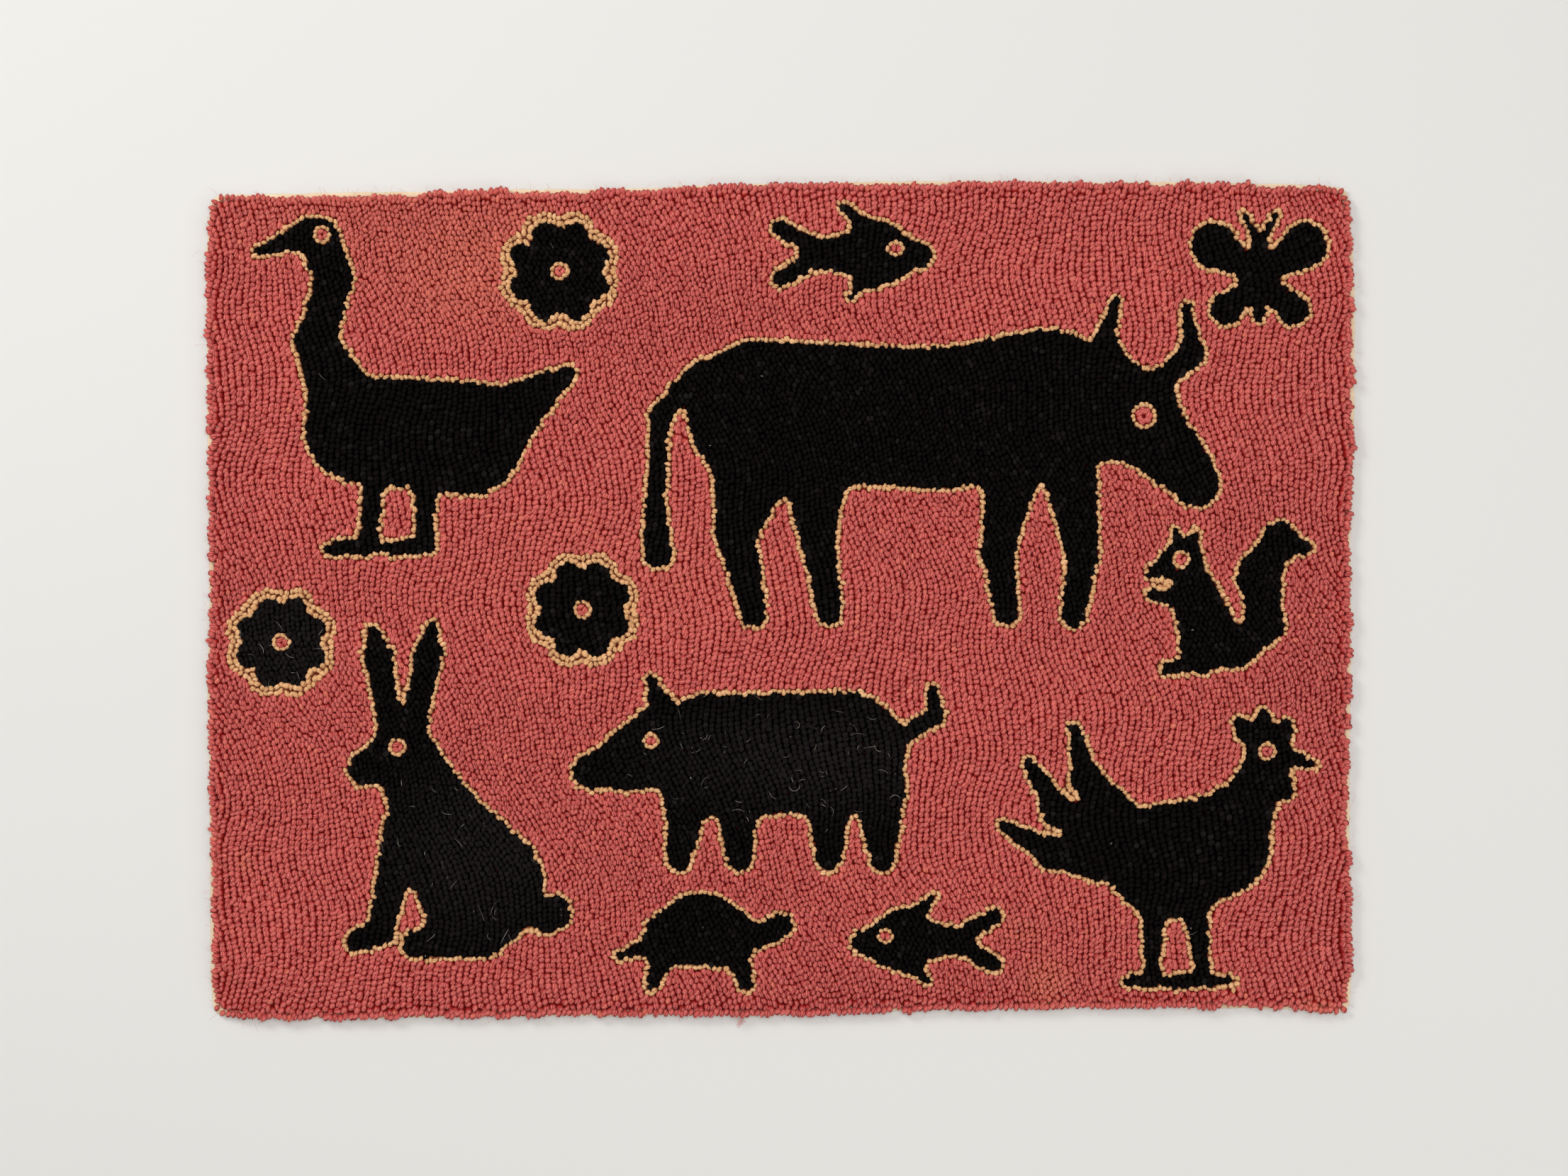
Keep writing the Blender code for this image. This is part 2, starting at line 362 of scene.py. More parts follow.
def figure_distance(figure, x, y):
    """Distance of points of the rug from a figure's edge, negative inside it, in metres."""
    side = -1 if figure.mirror else 1
    local_x = (x / MM - figure.x) / figure.scale * side
    local_y = (y / MM - figure.y) / figure.scale
    blend = STROKE_BLEND / MM / figure.scale
    found = stroke_distance(local_x, local_y, figure.strokes[0])
    for stroke in figure.strokes[1:]:
        other = stroke_distance(local_x, local_y, stroke)
        overlap = np.maximum(blend - abs(found - other), 0) / blend
        found = np.minimum(found, other) - overlap * overlap * blend / 4
    return found * figure.scale * MM


def eye_of(figure):
    """The middle and the ring's radius of a figure's eye on the rug, in metres."""
    side = -1 if figure.mirror else 1
    x, y, radius = figure.eye
    place = (figure.x + side * x * figure.scale, figure.y + y * figure.scale)
    return np.array(place) * MM, radius * MM


def figure_grid(figure):
    """The grid's x and y values that cover a figure and a little round it."""
    reach = np.array(figure.strokes)
    side = -1 if figure.mirror else 1
    places = []
    for axis, sign, middle in ((0, side, figure.x), (1, 1, figure.y)):
        ends = np.concatenate([reach[:, axis], reach[:, axis + 3]]) * sign
        half = np.concatenate([reach[:, 2], reach[:, 5]])
        low = (ends - half).min() * figure.scale * MM + middle * MM - GRID_MARGIN
        high = (ends + half).max() * figure.scale * MM + middle * MM + GRID_MARGIN
        places.append(np.arange(low, high, GRID_STEP))
    return places


def trace(xs, ys, field, level):
    """The closed lines where a field over a grid crosses a level."""
    inside = field < level
    corners = [inside[:-1, :-1], inside[:-1, 1:], inside[1:, 1:], inside[1:, :-1]]
    mixed = np.any([corners[0] != corner for corner in corners[1:]], axis=0)
    links = {}
    for row, column in np.argwhere(mixed).tolist():
        edges = (
            (row, column, 0, 1),
            (row, column + 1, 1, 0),
            (row + 1, column, 0, 1),
            (row, column, 1, 0),
        )
        crossed = [
            edge
            for edge in edges
            if inside[edge[0], edge[1]] != inside[edge[0] + edge[2], edge[1] + edge[3]]
        ]
        for first, second in zip(crossed[::2], crossed[1::2]):
            links.setdefault(first, []).append(second)
            links.setdefault(second, []).append(first)
    lines = []
    while links:
        at = next(iter(links))
        line = []
        while at is not None:
            row, column, up, right = at
            low, high = field[row, column], field[row + up, column + right]
            share = (level - low) / (high - low)
            line.append((xs[column] + share * right * GRID_STEP, ys[row] + share * up * GRID_STEP))
            ahead = [edge for edge in links.pop(at) if edge in links]
            at = ahead[0] if ahead else None
        lines.append(np.array(line))
    return lines


def softened(line, rounds=3):
    """A closed line with its small steps smoothed out."""
    for _ in range(rounds):
        line = (np.roll(line, 1, axis=0) + 2 * line + np.roll(line, -1, axis=0)) / 4
    return line


# Laying out the loops


# How much the loops differ in size, as a share of it.
SIZE_SPREAD = 0.05


def loops_at(places, heading, dye, rng, sizes):
    """Loops of ordinary size at these places, each a little different."""
    loops = np.zeros(len(places), LOOP_TYPE)
    loops["place"] = places
    loops["heading"] = heading
    for name in ("length", "width", "height"):
        loops[name] = getattr(sizes, "loop_" + name) * rng.normal(1, SIZE_SPREAD, len(places))
    loops["tone"] = rng.normal(0, 1, len(places))
    loops["dye"] = dye
    return loops


# How far the gold loops are turned from their row, at the mean and in spread, and stand off from it.
GOLD_TURN = (0.5, 0.8)
GOLD_SCATTER = 0.75 * MM

# How many loops fill the middle of an eye for its size, and the share of its radius at which they stand.
PUPIL_FILL = 1.4
PUPIL_REACH = 0.42


def ring_of(middle, radius, count):
    """Places spread evenly round a ring, and their directions from its middle."""
    turn = 2 * math.pi * np.arange(count) / count
    return middle + radius * np.stack([np.cos(turn), np.sin(turn)], axis=1), turn


def outline_rows(sizes, rng):
    """Gold loops that follow every figure's edge, and the rings round the eyes with their middles."""
    made = []
    for figure in FIGURES.values():
        xs, ys = figure_grid(figure)
        field = figure_distance(figure, *np.meshgrid(xs, ys))
        for row in range(figure.gold_rows):
            for line in trace(xs, ys, field, row * sizes.outline_width):
                points, ahead = even_line(softened(line), sizes.outline_spacing)
                heading = np.arctan2(ahead[:, 1], ahead[:, 0]) - math.pi / 2
                heading += rng.normal(*GOLD_TURN, len(points))
                points = points + rng.normal(0, GOLD_SCATTER, points.shape)
                made.append(loops_at(points, heading, GOLD, rng, sizes))
        if figure.eye:
            middle, radius = eye_of(figure)
            ring, turn = ring_of(middle, radius, round(2 * math.pi * radius / sizes.outline_spacing))
            made.append(loops_at(ring, turn, GOLD, rng, sizes))
            count = max(1, round((radius / sizes.outline_spacing) ** 2 * PUPIL_FILL))
            away = 0.0 if count == 1 else radius * PUPIL_REACH
            pupil, turn = ring_of(middle, away, count)
            made.append(loops_at(pupil, turn, CORAL, rng, sizes))
    return np.concatenate(made)


def bare_back(edge, along):
    """How far the rim's loops are worn back at places along an edge, in metres."""
    found = np.zeros(len(along))
    for start, end, back in BARE_STRETCHES[edge]:
        ease = min(BARE_EASE, (end - start) / 3) * MM
        share = np.minimum(along - start * MM, end * MM - along) / ease
        found = np.maximum(found, back * MM * smooth_step(share + 0.5))
    return found


# How far in the outermost loops stand, how much they lean out, which brings their tips to the cloth's
# fold, how much longer than others they are, and how far they are turned.
RIM_INSET = 4.9 * MM
RIM_LEAN = 0.42
RIM_LONGER = 1.15
RIM_TURN_SPREAD = 0.3

# How far a loop of the rim may stand in or out from its place, and the scatter and waves that put it
# there.
RIM_LIMITS = (-3.2 * MM, 2.2 * MM)
RIM_SCATTER = 0.5 * MM
RIM_WAVES = ((67, 0.5 * MM, 0.4), (113, 0.45 * MM, 1.9), (187, 0.35 * MM, 3.1))

# The corners are rounder in this row than in the cloth, so its loops reach farther there.
CORNER_REACH = 2.4 * MM


def rim_row(line, sizes, rng):
    """The outermost row of loops, which leans out over the cloth's fold."""
    points, ahead = even_line(inset_line(line, RIM_INSET), sizes.loop_spacing)
    outward = outward_of(ahead)
    edges = np.where(
        abs(outward[:, 0]) > abs(outward[:, 1]),
        np.where(outward[:, 0] > 0, "right", "left"),
        np.where(outward[:, 1] > 0, "back", "front"),
    )
    way = 2 * math.pi * np.arange(len(points)) / len(points)
    reach = rng.normal(0, RIM_SCATTER, len(points))
    reach += ripples(way, RIM_WAVES)
    for edge, usual in RIM_REACH.items():
        here = edges == edge
        along = points[here, 0 if edge in ("front", "back") else 1]
        reach[here] += usual - bare_back(edge, along)
    reach += RIM_LEAN * sizes.loop_height * wear_at(points, WORN_PATCHES)
    reach = np.clip(reach, *RIM_LIMITS) + CORNER_REACH * abs(outward).min(axis=1)
    loops = loops_at(points + outward * reach[:, None], 0.0, CORAL, rng, sizes)
    loops["length"] *= RIM_LONGER
    loops["heading"] = np.arctan2(outward[:, 1], outward[:, 0]) - math.pi / 2
    loops["heading"] += rng.normal(0, RIM_TURN_SPREAD, len(points))
    loops["rim"] = True
    return loops


# How far in from the rim its lean dies away, how much that differs, and how much any loop leans.
LEAN_DEPTH = 6 * MM
LEAN_SPREAD = 0.22
ANY_LEAN = 0.07


def leaning(loops, line, rng):
    """The loops with their lean: outwards near the rim, and else a little any way."""
    inset, outward = inset_of(loops["place"], line)
    amount = RIM_LEAN * np.exp(-((np.maximum(inset - RIM_INSET, 0) / LEAN_DEPTH) ** 2))
    amount *= rng.normal(1, LEAN_SPREAD, len(loops))
    loops["lean"] = outward * amount[:, None] + rng.normal(0, ANY_LEAN, (len(loops), 2))
    return loops


# How far the columns of loops lean, x against y, how they wander on the way, how far single loops stand
# off from them, and how far past the rug the columns begin and end.
COLUMN_LEAN = -0.22
COLUMN_WAVES = (
    (900 * MM, 470 * MM, 19 * MM, 0.6),
    (-520 * MM, 140 * MM, 5.4 * MM, 2.2),
    (260 * MM, 64 * MM, 1.1 * MM, 4.4),
)
COLUMN_SCATTER = 0.18 * MM
COLUMN_MARGIN = 22 * MM


def columns(sizes, rng):
    """Places in slightly wandering columns all over the rug, and the columns' direction there."""
    half = HALF_WIDTH + abs(COLUMN_LEAN) * HALF_DEPTH + COLUMN_MARGIN
    across = np.arange(-half, half, sizes.column_spacing)
    along = np.arange(-HALF_DEPTH, HALF_DEPTH, sizes.loop_spacing)
    x, y = np.meshgrid(across, along, indexing="ij")
    y = y + rng.uniform(-0.5, 0.5, (len(across), 1)) * sizes.loop_spacing
    wandered = x + COLUMN_LEAN * y + waves(x, y, COLUMN_WAVES)
    ahead = COLUMN_LEAN * MM + waves(x, y + MM, COLUMN_WAVES) - waves(x, y, COLUMN_WAVES)
    places = np.stack([wandered.ravel(), y.ravel()], axis=1)
    places += rng.normal(0, COLUMN_SCATTER, places.shape)
    return places, -np.arctan2(ahead.ravel(), MM)


def nearby(spots, places, reach):
    """For each spot, the indices of the places in the cells round it, -1 where there is none."""
    origin = np.minimum(spots.min(0), places.min(0))
    cells = np.floor((places - origin) / reach).astype(int) + 1
    own = np.floor((spots - origin) / reach).astype(int) + 1
    shape = np.maximum(cells.max(0), own.max(0)) + 2
    code = cells[:, 0] * shape[1] + cells[:, 1]
    order = np.argsort(code, kind="stable")
    slot = np.arange(len(order)) - np.searchsorted(code[order], code[order])
    table = np.full((shape[0] * shape[1], slot.max() + 1), -1)
    table[code[order], slot] = order
    at = own[:, 0] * shape[1] + own[:, 1]
    beside = [(dx, dy) for dx in (-1, 0, 1) for dy in (-1, 0, 1)]
    return np.concatenate([table[at + dx * shape[1] + dy] for dx, dy in beside], axis=1)


# The share of an overlap that a free place moves in one round, and a fixed one, and how close two
# places are that count as one.
FREE_PUSH = 0.5
FIXED_PUSH = 0.12
SAME_PLACE = 1e-9


def settle(places, free, apart, rounds):
    """Pushes places that lie closer than this apart; the free ones move more than the others."""
    places = places.copy()
    share = np.where(free, FREE_PUSH, FIXED_PUSH)[:, None]
    for _ in range(rounds):
        near = nearby(places, places, apart)
        away = places[:, None, :] - places[near]
        distance = np.linalg.norm(away, axis=2)
        real = (near >= 0) & (distance > SAME_PLACE) & (distance < apart)
        push = np.where(real, (apart - distance) / np.maximum(distance, SAME_PLACE), 0)
        places += (away * push[:, :, None]).sum(axis=1) * share
    return places


# The candidates for gaps come row by row, so only this many of the last ones kept can be near.
LOOK_BACK = 60


def gaps(places, candidates, apart):
    """The candidates that lie in holes between the places, no two of them close together."""
    near = nearby(candidates, places, apart)
    away = np.linalg.norm(candidates[:, None, :] - places[near], axis=2)
    taken = (near >= 0) & (away < apart)
    kept = []
    for place in candidates[~taken.any(axis=1)]:
        if all(math.dist(place, other) > apart for other in kept[-LOOK_BACK:]):
            kept.append(place)
    return np.array(kept).reshape(-1, 2)


# The spots that tell which room each loop has: how far apart they are, how far a loop's room may reach,
# and how many are looked at together, which keeps the memory small.
CELL_STEP = 1.0 * MM
CELL_REACH = 6.0 * MM
SPOTS_AT_ONCE = 50000

# How much of its room a gold loop leaves to its neighbours, and how much of the rest it fills.
GOLD_NARROWER = 0.7 * MM
GOLD_SHARE = 0.97

# How far a loop moves to the middle of its room, and how far its size may follow the room's.
CENTRING = 0.5
ROOM_LIMITS = (0.74, 1.35)


def owners(loops):
    """Evenly spread spots of the rug, and which of the loops is nearest to each."""
    places = loops["place"]
    narrower = np.where(loops["dye"] == GOLD, GOLD_NARROWER, 0.0)
    xs = np.arange(-HALF_WIDTH, HALF_WIDTH, CELL_STEP)
    ys = np.arange(-HALF_DEPTH, HALF_DEPTH, CELL_STEP)
    spots = grid_spots(xs, ys)
    found = []
    for part in np.array_split(spots, math.ceil(len(spots) / SPOTS_AT_ONCE)):
        near = nearby(part, places, CELL_REACH)
        away = np.linalg.norm(part[:, None, :] - places[near], axis=2) + narrower[near]
        away[near < 0] = np.inf
        found.append(near[np.arange(len(part)), away.argmin(axis=1)])
    owner = np.concatenate(found)
    return spots[owner >= 0], owner[owner >= 0]


def room_mean(owner, values, count, times=1):
    """The mean of the values of the spots that each of this many loops owns, times a number."""
    owned = np.maximum(np.bincount(owner, minlength=count), 1)
    return times * np.bincount(owner, values, count) / owned


def centred(loops, free):
    """The loops, of which the free ones have moved towards the middle of the room that they have."""
    spots, owner = owners(loops)
    middle = [room_mean(owner, spots[:, axis], len(loops)) for axis in (0, 1)]
    step = np.stack(middle, axis=1) - loops["place"]
    loops["place"][free] += CENTRING * step[free]
    return loops


def fitted(loops, sizes):
    """The loops as wide and long as their room, so that no hole is left between them."""
    spots, owner = owners(loops)
    away = spots - loops["place"][owner]
    turn = loops["heading"][owner]
    across = away[:, 0] * np.cos(turn) + away[:, 1] * np.sin(turn)
    along = away[:, 1] * np.cos(turn) - away[:, 0] * np.sin(turn)
    fits = ~loops["rim"]
    for name, offset, usual in (
        ("width", across, sizes.column_spacing),
        ("length", along, sizes.loop_spacing),
    ):
        # Offsets spread evenly over a width have a mean square of a twelfth of the width's square.
        room = np.sqrt(room_mean(owner, offset**2, len(loops), times=12))
        share = np.clip(room / usual, *ROOM_LIMITS)
        loops[name][fits] *= share[fits]
        loops[name][loops["dye"] == GOLD] *= GOLD_SHARE
    return loops


def design_fields():
    """Distances from the black figures and from their gold rows over the whole rug, on a grid."""
    xs = np.arange(-HALF_WIDTH, HALF_WIDTH + GRID_STEP, GRID_STEP)
    ys = np.arange(-HALF_DEPTH, HALF_DEPTH + GRID_STEP, GRID_STEP)
    x, y = np.meshgrid(xs, ys)
    black = np.full(x.shape, 1.0)
    outer = np.full(x.shape, 1.0)
    width = bpy.context.scene.rug_sizes.outline_width
    for figure in FIGURES.values():
        xs_near, ys_near = figure_grid(figure)
        columns_near = (xs >= xs_near[0]) & (xs <= xs_near[-1])
        rows_near = (ys >= ys_near[0]) & (ys <= ys_near[-1])
        near = np.ix_(rows_near, columns_near)
        found = figure_distance(figure, x[near], y[near])
        black[near] = np.minimum(black[near], found)
        outer[near] = np.minimum(outer[near], found - (figure.gold_rows - 1) * width)
    return xs, ys, black, outer


def read_field(xs, ys, field, places):
    """A grid's values at places, from the nearest grid point."""
    column = np.clip(np.rint((places[:, 0] - xs[0]) / GRID_STEP).astype(int), 0, len(xs) - 1)
    row = np.clip(np.rint((places[:, 1] - ys[0]) / GRID_STEP).astype(int), 0, len(ys) - 1)
    return field[row, column]


# How far in from the edge the loops of the columns begin, behind the rim's row, and how far inside
# the rug's length and depth any of them has to stand.
RIM_ROW_DEPTH = 6.4 * MM
EXTENT_DEPTH = 6 * MM


def dye_at(places, fields, line, clear):
    """The dye that fills the design at places: coral, black, or -1 where other loops stand."""
    xs, ys, black, outer = fields
    inside = read_field(xs, ys, black, places)
    outside = read_field(xs, ys, outer, places)
    dye = np.full(len(places), -1)
    dye[inside < -clear] = BLACK
    dye[outside > clear] = CORAL
    for figure in FIGURES.values():
        if figure.eye:
            middle, radius = eye_of(figure)
            dye[np.linalg.norm(places - middle, axis=1) < radius + clear] = -1
    inset, _ = inset_of(places, line)
    in_rug = (abs(places) < np.array([HALF_WIDTH, HALF_DEPTH]) - EXTENT_DEPTH).all(axis=1)
    dye[(inset < RIM_ROW_DEPTH) | ~in_rug] = -1
    return dye


# How far from a gold row the loops of the columns stand, the spots where loops may be added, and the
# added loops, in widths of the outline.
COLUMN_CLEAR = 0.62
SPOT_CLEAR = 0.45
ADDED_CLEAR = 0.4

# How close loops may stand before they push each other away, and how large a hole gets another loop,
# both in loop spacings, and how often loops are pushed before the holes are filled and after.
CLOSEST = 0.95
HOLE = 0.8
FIRST_ROUNDS = 10
LAST_ROUNDS = 8

# How far the loops are turned from their column, and how far behind the rim's row they have to stand.
TURN_SPREAD = 0.26
BEHIND_RIM = 0.5 * MM


@functools.cache
def laid_out():
    """Every loop of the rug."""
    sizes = bpy.context.scene.rug_sizes
    rng = np.random.default_rng(sizes.seed)
    line = fold_line()
    fields = design_fields()
    rim = rim_row(line, sizes, rng)
    fixed = np.concatenate([outline_rows(sizes, rng), rim])
    places, heading = columns(sizes, rng)
    dye = dye_at(places, fields, line, COLUMN_CLEAR * sizes.outline_width)
    keep = dye >= 0
    filling = loops_at(places[keep], heading[keep], dye[keep], rng, sizes)
    filling["heading"] += rng.normal(0, TURN_SPREAD, len(filling))
    loops = np.concatenate([fixed, filling])
    free = np.arange(len(loops)) >= len(fixed)
    apart = CLOSEST * sizes.loop_spacing
    loops["place"] = settle(loops["place"], free, apart, FIRST_ROUNDS)

    spots = grid_spots(*fields[:2])
    spots = spots[dye_at(spots, fields, line, SPOT_CLEAR * sizes.outline_width) >= 0]
    added = gaps(loops["place"], spots, HOLE * sizes.loop_spacing)
    dye = dye_at(added, fields, line, ADDED_CLEAR * sizes.outline_width)
    loops = np.concatenate([loops, loops_at(added, 0.0, np.maximum(dye, 0), rng, sizes)])
    free = np.arange(len(loops)) >= len(fixed)
    loops["place"] = settle(loops["place"], free, apart, LAST_ROUNDS)
    loops = centred(loops, free)
    loops["place"][loops["rim"]] = rim["place"]
    inset, _ = inset_of(loops["place"], line)
    loops = loops[loops["rim"] | (inset > RIM_INSET + BEHIND_RIM)]
    return worn_down(leaning(fitted(loops, sizes), line, rng))


# Waves over the rug that the heights of its loops follow.
HEIGHT_WAVES = (
    (190 * MM, 240 * MM, 0.15 * MM, 0.7),
    (-118 * MM, 87 * MM, 0.15 * MM, 2.6),
    (67 * MM, -101 * MM, 0.15 * MM, 5.1),
    (23 * MM, 31 * MM, 0.12 * MM, 1.4),
    (-17 * MM, 26 * MM, 0.12 * MM, 3.9),
)


def away_from(places, patch):
    """How far places lie from the middle of an oval patch, which is 1 at its edge."""
    x, y = places.T / MM
    return np.hypot((x - patch.x) / patch.half_x, (y - patch.y) / patch.half_y)


# How far out from a worn patch's middle the wear and the lint end, where 1 is its edge.
WEAR_END = 1.6
LINT_END = 1.5

# How much narrower a loop is that is worn right down.
WORN_NARROWER = 0.3


def wear_at(places, patches):
    """The share of the pile's height that is worn off at places."""
    loss = np.zeros(len(places))
    for worn in patches:
        loss = np.maximum(loss, worn.loss * smooth_step(WEAR_END - away_from(places, worn)))
    return loss


def worn_down(loops):
    """The loops with the pile's unevenness and its worn patches put into their heights."""
    x, y = loops["place"].T
    loops["height"] += waves(x, y, HEIGHT_WAVES)
    loss = wear_at(loops["place"], WORN_PATCHES + WORN_FIGURES)
    loops["height"] *= 1 - loss
    loops["width"] *= 1 - WORN_NARROWER * loss
    return loops


# Meshes


def mesh_from(name, points, faces):
    """A smooth mesh from arrays of points and faces."""
    mesh = bpy.data.meshes.new(name)
    mesh.from_pydata(points, [], faces)
    mesh.shade_smooth()
    return mesh


def add_object(name, mesh, material=None):
    """A piece of the rug that lies where its mesh is."""
    made = bpy.data.objects.new(name, mesh)
    bpy.context.scene.collection.objects.link(made)
    if material is not None:
        mesh.materials.append(material)
    return made


# A form's rings from its foot up: share of its half width and of its height.
Ring = namedtuple("Ring", "half height")
PILE_RINGS = (Ring(1.26, 0.04),)
RIM_RINGS = (Ring(0.62, 0.0), Ring(1.02, 0.42))
LOOP_SIDES = 8

# A line along the top of a loop, on a ply or between two: how far it lies to the side and ahead and
# half its length, in loop widths, its share of the height, and how much painted light its colour gets.
Line = namedtuple("Line", "side ahead half height light")

# A loop's top: its plies' turn from the column, their width, where one of them lies, and its lines.
Top = namedtuple("Top", "turn pitch ridge lines")
LOOP_TOPS = (
    Top(-0.72, 0.25, 0.0, (
        Line(-0.37, 0.0, 0.20, 0.80, 0.88),
        Line(-0.19, 0.02, 0.34, 0.93, 0.97),
        Line(0.0, 0.0, 0.39, 1.0, 1.0),
        Line(0.19, -0.02, 0.34, 0.90, 0.95),
        Line(0.37, 0.0, 0.19, 0.82, 0.90),
    )),
    Top(-0.5, 0.27, 0.1, (
        Line(-0.38, 0.02, 0.18, 0.84, 0.90),
        Line(-0.15, 0.0, 0.37, 1.0, 1.0),
        Line(0.0, 0.03, 0.36, 0.88, 0.84),
        Line(0.15, 0.0, 0.37, 0.97, 1.0),
        Line(0.38, -0.02, 0.19, 0.78, 0.87),
    )),
    Top(-0.95, 0.24, 0.05, (
        Line(-0.38, -0.03, 0.19, 0.87, 0.93),
        Line(-0.22, 0.0, 0.32, 0.87, 0.84),
        Line(-0.02, 0.0, 0.39, 1.0, 1.0),
        Line(0.20, 0.02, 0.34, 0.95, 1.0),
        Line(0.38, 0.02, 0.18, 0.78, 0.87),
    )),
)


# The black loops' plies are too dark to see, so their tops are plainer.
PLAIN_TOPS = (
    Top(-0.72, 0.25, 0.0, (
        Line(-0.34, 0.0, 0.24, 0.84, 0.90),
        Line(0.0, 0.0, 0.39, 1.0, 1.0),
        Line(0.34, 0.0, 0.23, 0.82, 0.90),
    )),
    Top(-0.95, 0.24, 0.05, (
        Line(-0.35, 0.02, 0.23, 0.80, 0.88),
        Line(0.02, 0.0, 0.38, 1.0, 1.0),
        Line(0.35, 0.0, 0.24, 0.86, 0.92),
    )),
)


def between_rings(outer, inner):
    """The triangles between two closed rings, each a list of turns and point numbers in order."""
    faces = []
    i = j = 0
    while i < len(outer) or j < len(inner):
        next_out = outer[(i + 1) % len(outer)][0] + 2 * math.pi * ((i + 1) // len(outer))
        next_in = inner[(j + 1) % len(inner)][0] + 2 * math.pi * ((j + 1) // len(inner))
        here, there = outer[i % len(outer)][1], inner[j % len(inner)][1]
        if j >= len(inner) or (i < len(outer) and next_out <= next_in):
            faces.append((here, outer[(i + 1) % len(outer)][1], there))
            i += 1
        else:
            faces.append((here, inner[(j + 1) % len(inner)][1], there))
            j += 1
    return faces


# In a loop's cell of the map: how much farther in each ring lies than the one below it, how far out the
# top reaches, and how much of the cell is used.
RING_STEP = 0.22
TOP_REACH = 0.6
CELL_USE = 0.47


def loop_mesh(name, rings, top, darkest):
    """One yarn loop of unit size: a plump form with an open foot, whose top shows slanting plies."""
    turns = [2 * math.pi * (side + 0.5) / LOOP_SIDES for side in range(LOOP_SIDES)]
    points, flat, light = [], [], []
    for index, ring in enumerate(rings):
        for x, y in ((math.cos(turn), math.sin(turn)) for turn in turns):
            points.append((ring.half / 2 * x, ring.half / 2 * y, ring.height))
            flat.append(((1 - RING_STEP * index) * x, (1 - RING_STEP * index) * y))
            # Painted light for each ring: the lower the ring lies, the more painted shade darkens its
            # colour.
            light.append(darkest + (1 - darkest) * ring.height)
    first = len(points)
    cosine, sine = math.cos(top.turn), math.sin(top.turn)
    for line in top.lines:
        for ahead in (line.ahead - line.half, line.ahead + line.half):
            x = line.side * cosine - ahead * sine
            y = line.side * sine + ahead * cosine
            points.append((x, y, line.height))
            flat.append((x / TOP_REACH, y / TOP_REACH))
            light.append(line.light)
    faces = []
    for low in range(0, LOOP_SIDES * (len(rings) - 1), LOOP_SIDES):
        for side in range(LOOP_SIDES):
            after = (side + 1) % LOOP_SIDES
            high = low + LOOP_SIDES
            faces.append((low + side, low + after, high + after, high + side))
    shoulder = [(turn, first - LOOP_SIDES + side) for side, turn in enumerate(turns)]
    inner = [
        (math.atan2(y, x) % (2 * math.pi), first + index)
        for index, (x, y, _) in enumerate(points[first:])
    ]
    faces += between_rings(shoulder, sorted(inner))
    for line in range(first, len(points) - 2, 2):
        faces.append((line, line + 2, line + 3, line + 1))
    mesh = mesh_from(name, points, faces)
    flat = np.array(flat)
    add_uv(mesh, "cell", flat * CELL_USE + 0.5)
    turned = np.array([[cosine, -sine], [sine, cosine]])
    add_uv(mesh, YARN_MAP, (flat * TOP_REACH @ turned - np.array([top.ridge, 0])) / top.pitch)
    # The painted light is kept on the mesh, and the wool darkens or lightens its colour by it.
    add_attribute(mesh, "painted_light", light)
    return mesh


def add_uv(mesh, name, by_vertex):
    """A UV map with one place for each vertex."""
    corners = np.zeros(len(mesh.loops), int)
    mesh.loops.foreach_get("vertex_index", corners)
    layer = mesh.uv_layers.new(name=name)
    layer.uv.foreach_set("vector", by_vertex[corners].astype(np.float32).ravel())


def fill(tree, socket, value):
    """Links an input to a socket, or sets it to a value."""
    if isinstance(value, bpy.types.NodeSocket):
        tree.links.new(value, socket)
    else:
        socket.default_value = value


def node(tree, kind, settings=(), **inputs):
    """Adds a node, sets its properties and fills its inputs, of which i0, i1 and so on are numbers."""
    made = tree.nodes.new(kind)
    for name, value in dict(settings).items():
        setattr(made, name, value)
    for name, value in inputs.items():
        numbered = name[0] == "i" and name[1:].isdigit()
        fill(tree, made.inputs[int(name[1:]) if numbered else name.replace("_", " ")], value)
    return made


def attribute(tree, name, kind):
    """A geometry node that reads a named attribute."""
    reader = node(tree, "GeometryNodeInputNamedAttribute", {"data_type": kind}, Name=name)
    return next(socket for socket in reader.outputs if socket.enabled)


def math_node(tree, operation, first, second=0.0):
    """The result of a scalar operation."""
    return node(tree, "ShaderNodeMath", {"operation": operation}, i0=first, i1=second).outputs[0]


def vector_node(tree, operation, first, second=(0, 0, 0)):
    """The vector result of a vector operation."""
    made = node(tree, "ShaderNodeVectorMath", {"operation": operation}, i0=first)
    fill(tree, made.inputs["Scale" if operation == "SCALE" else 1], second)
    return made.outputs["Vector"]


# The inputs of the geometry nodes that build the pile, and their kinds.
PILE_INPUTS = (
    ("Geometry", "NodeSocketGeometry"),
    ("Forms", "NodeSocketCollection"),
    ("Material", "NodeSocketMaterial"),
    ("Unevenness", "NodeSocketFloat"),
    ("Lump Size", "NodeSocketFloat"),
    ("Lowest", "NodeSocketFloat"),
)


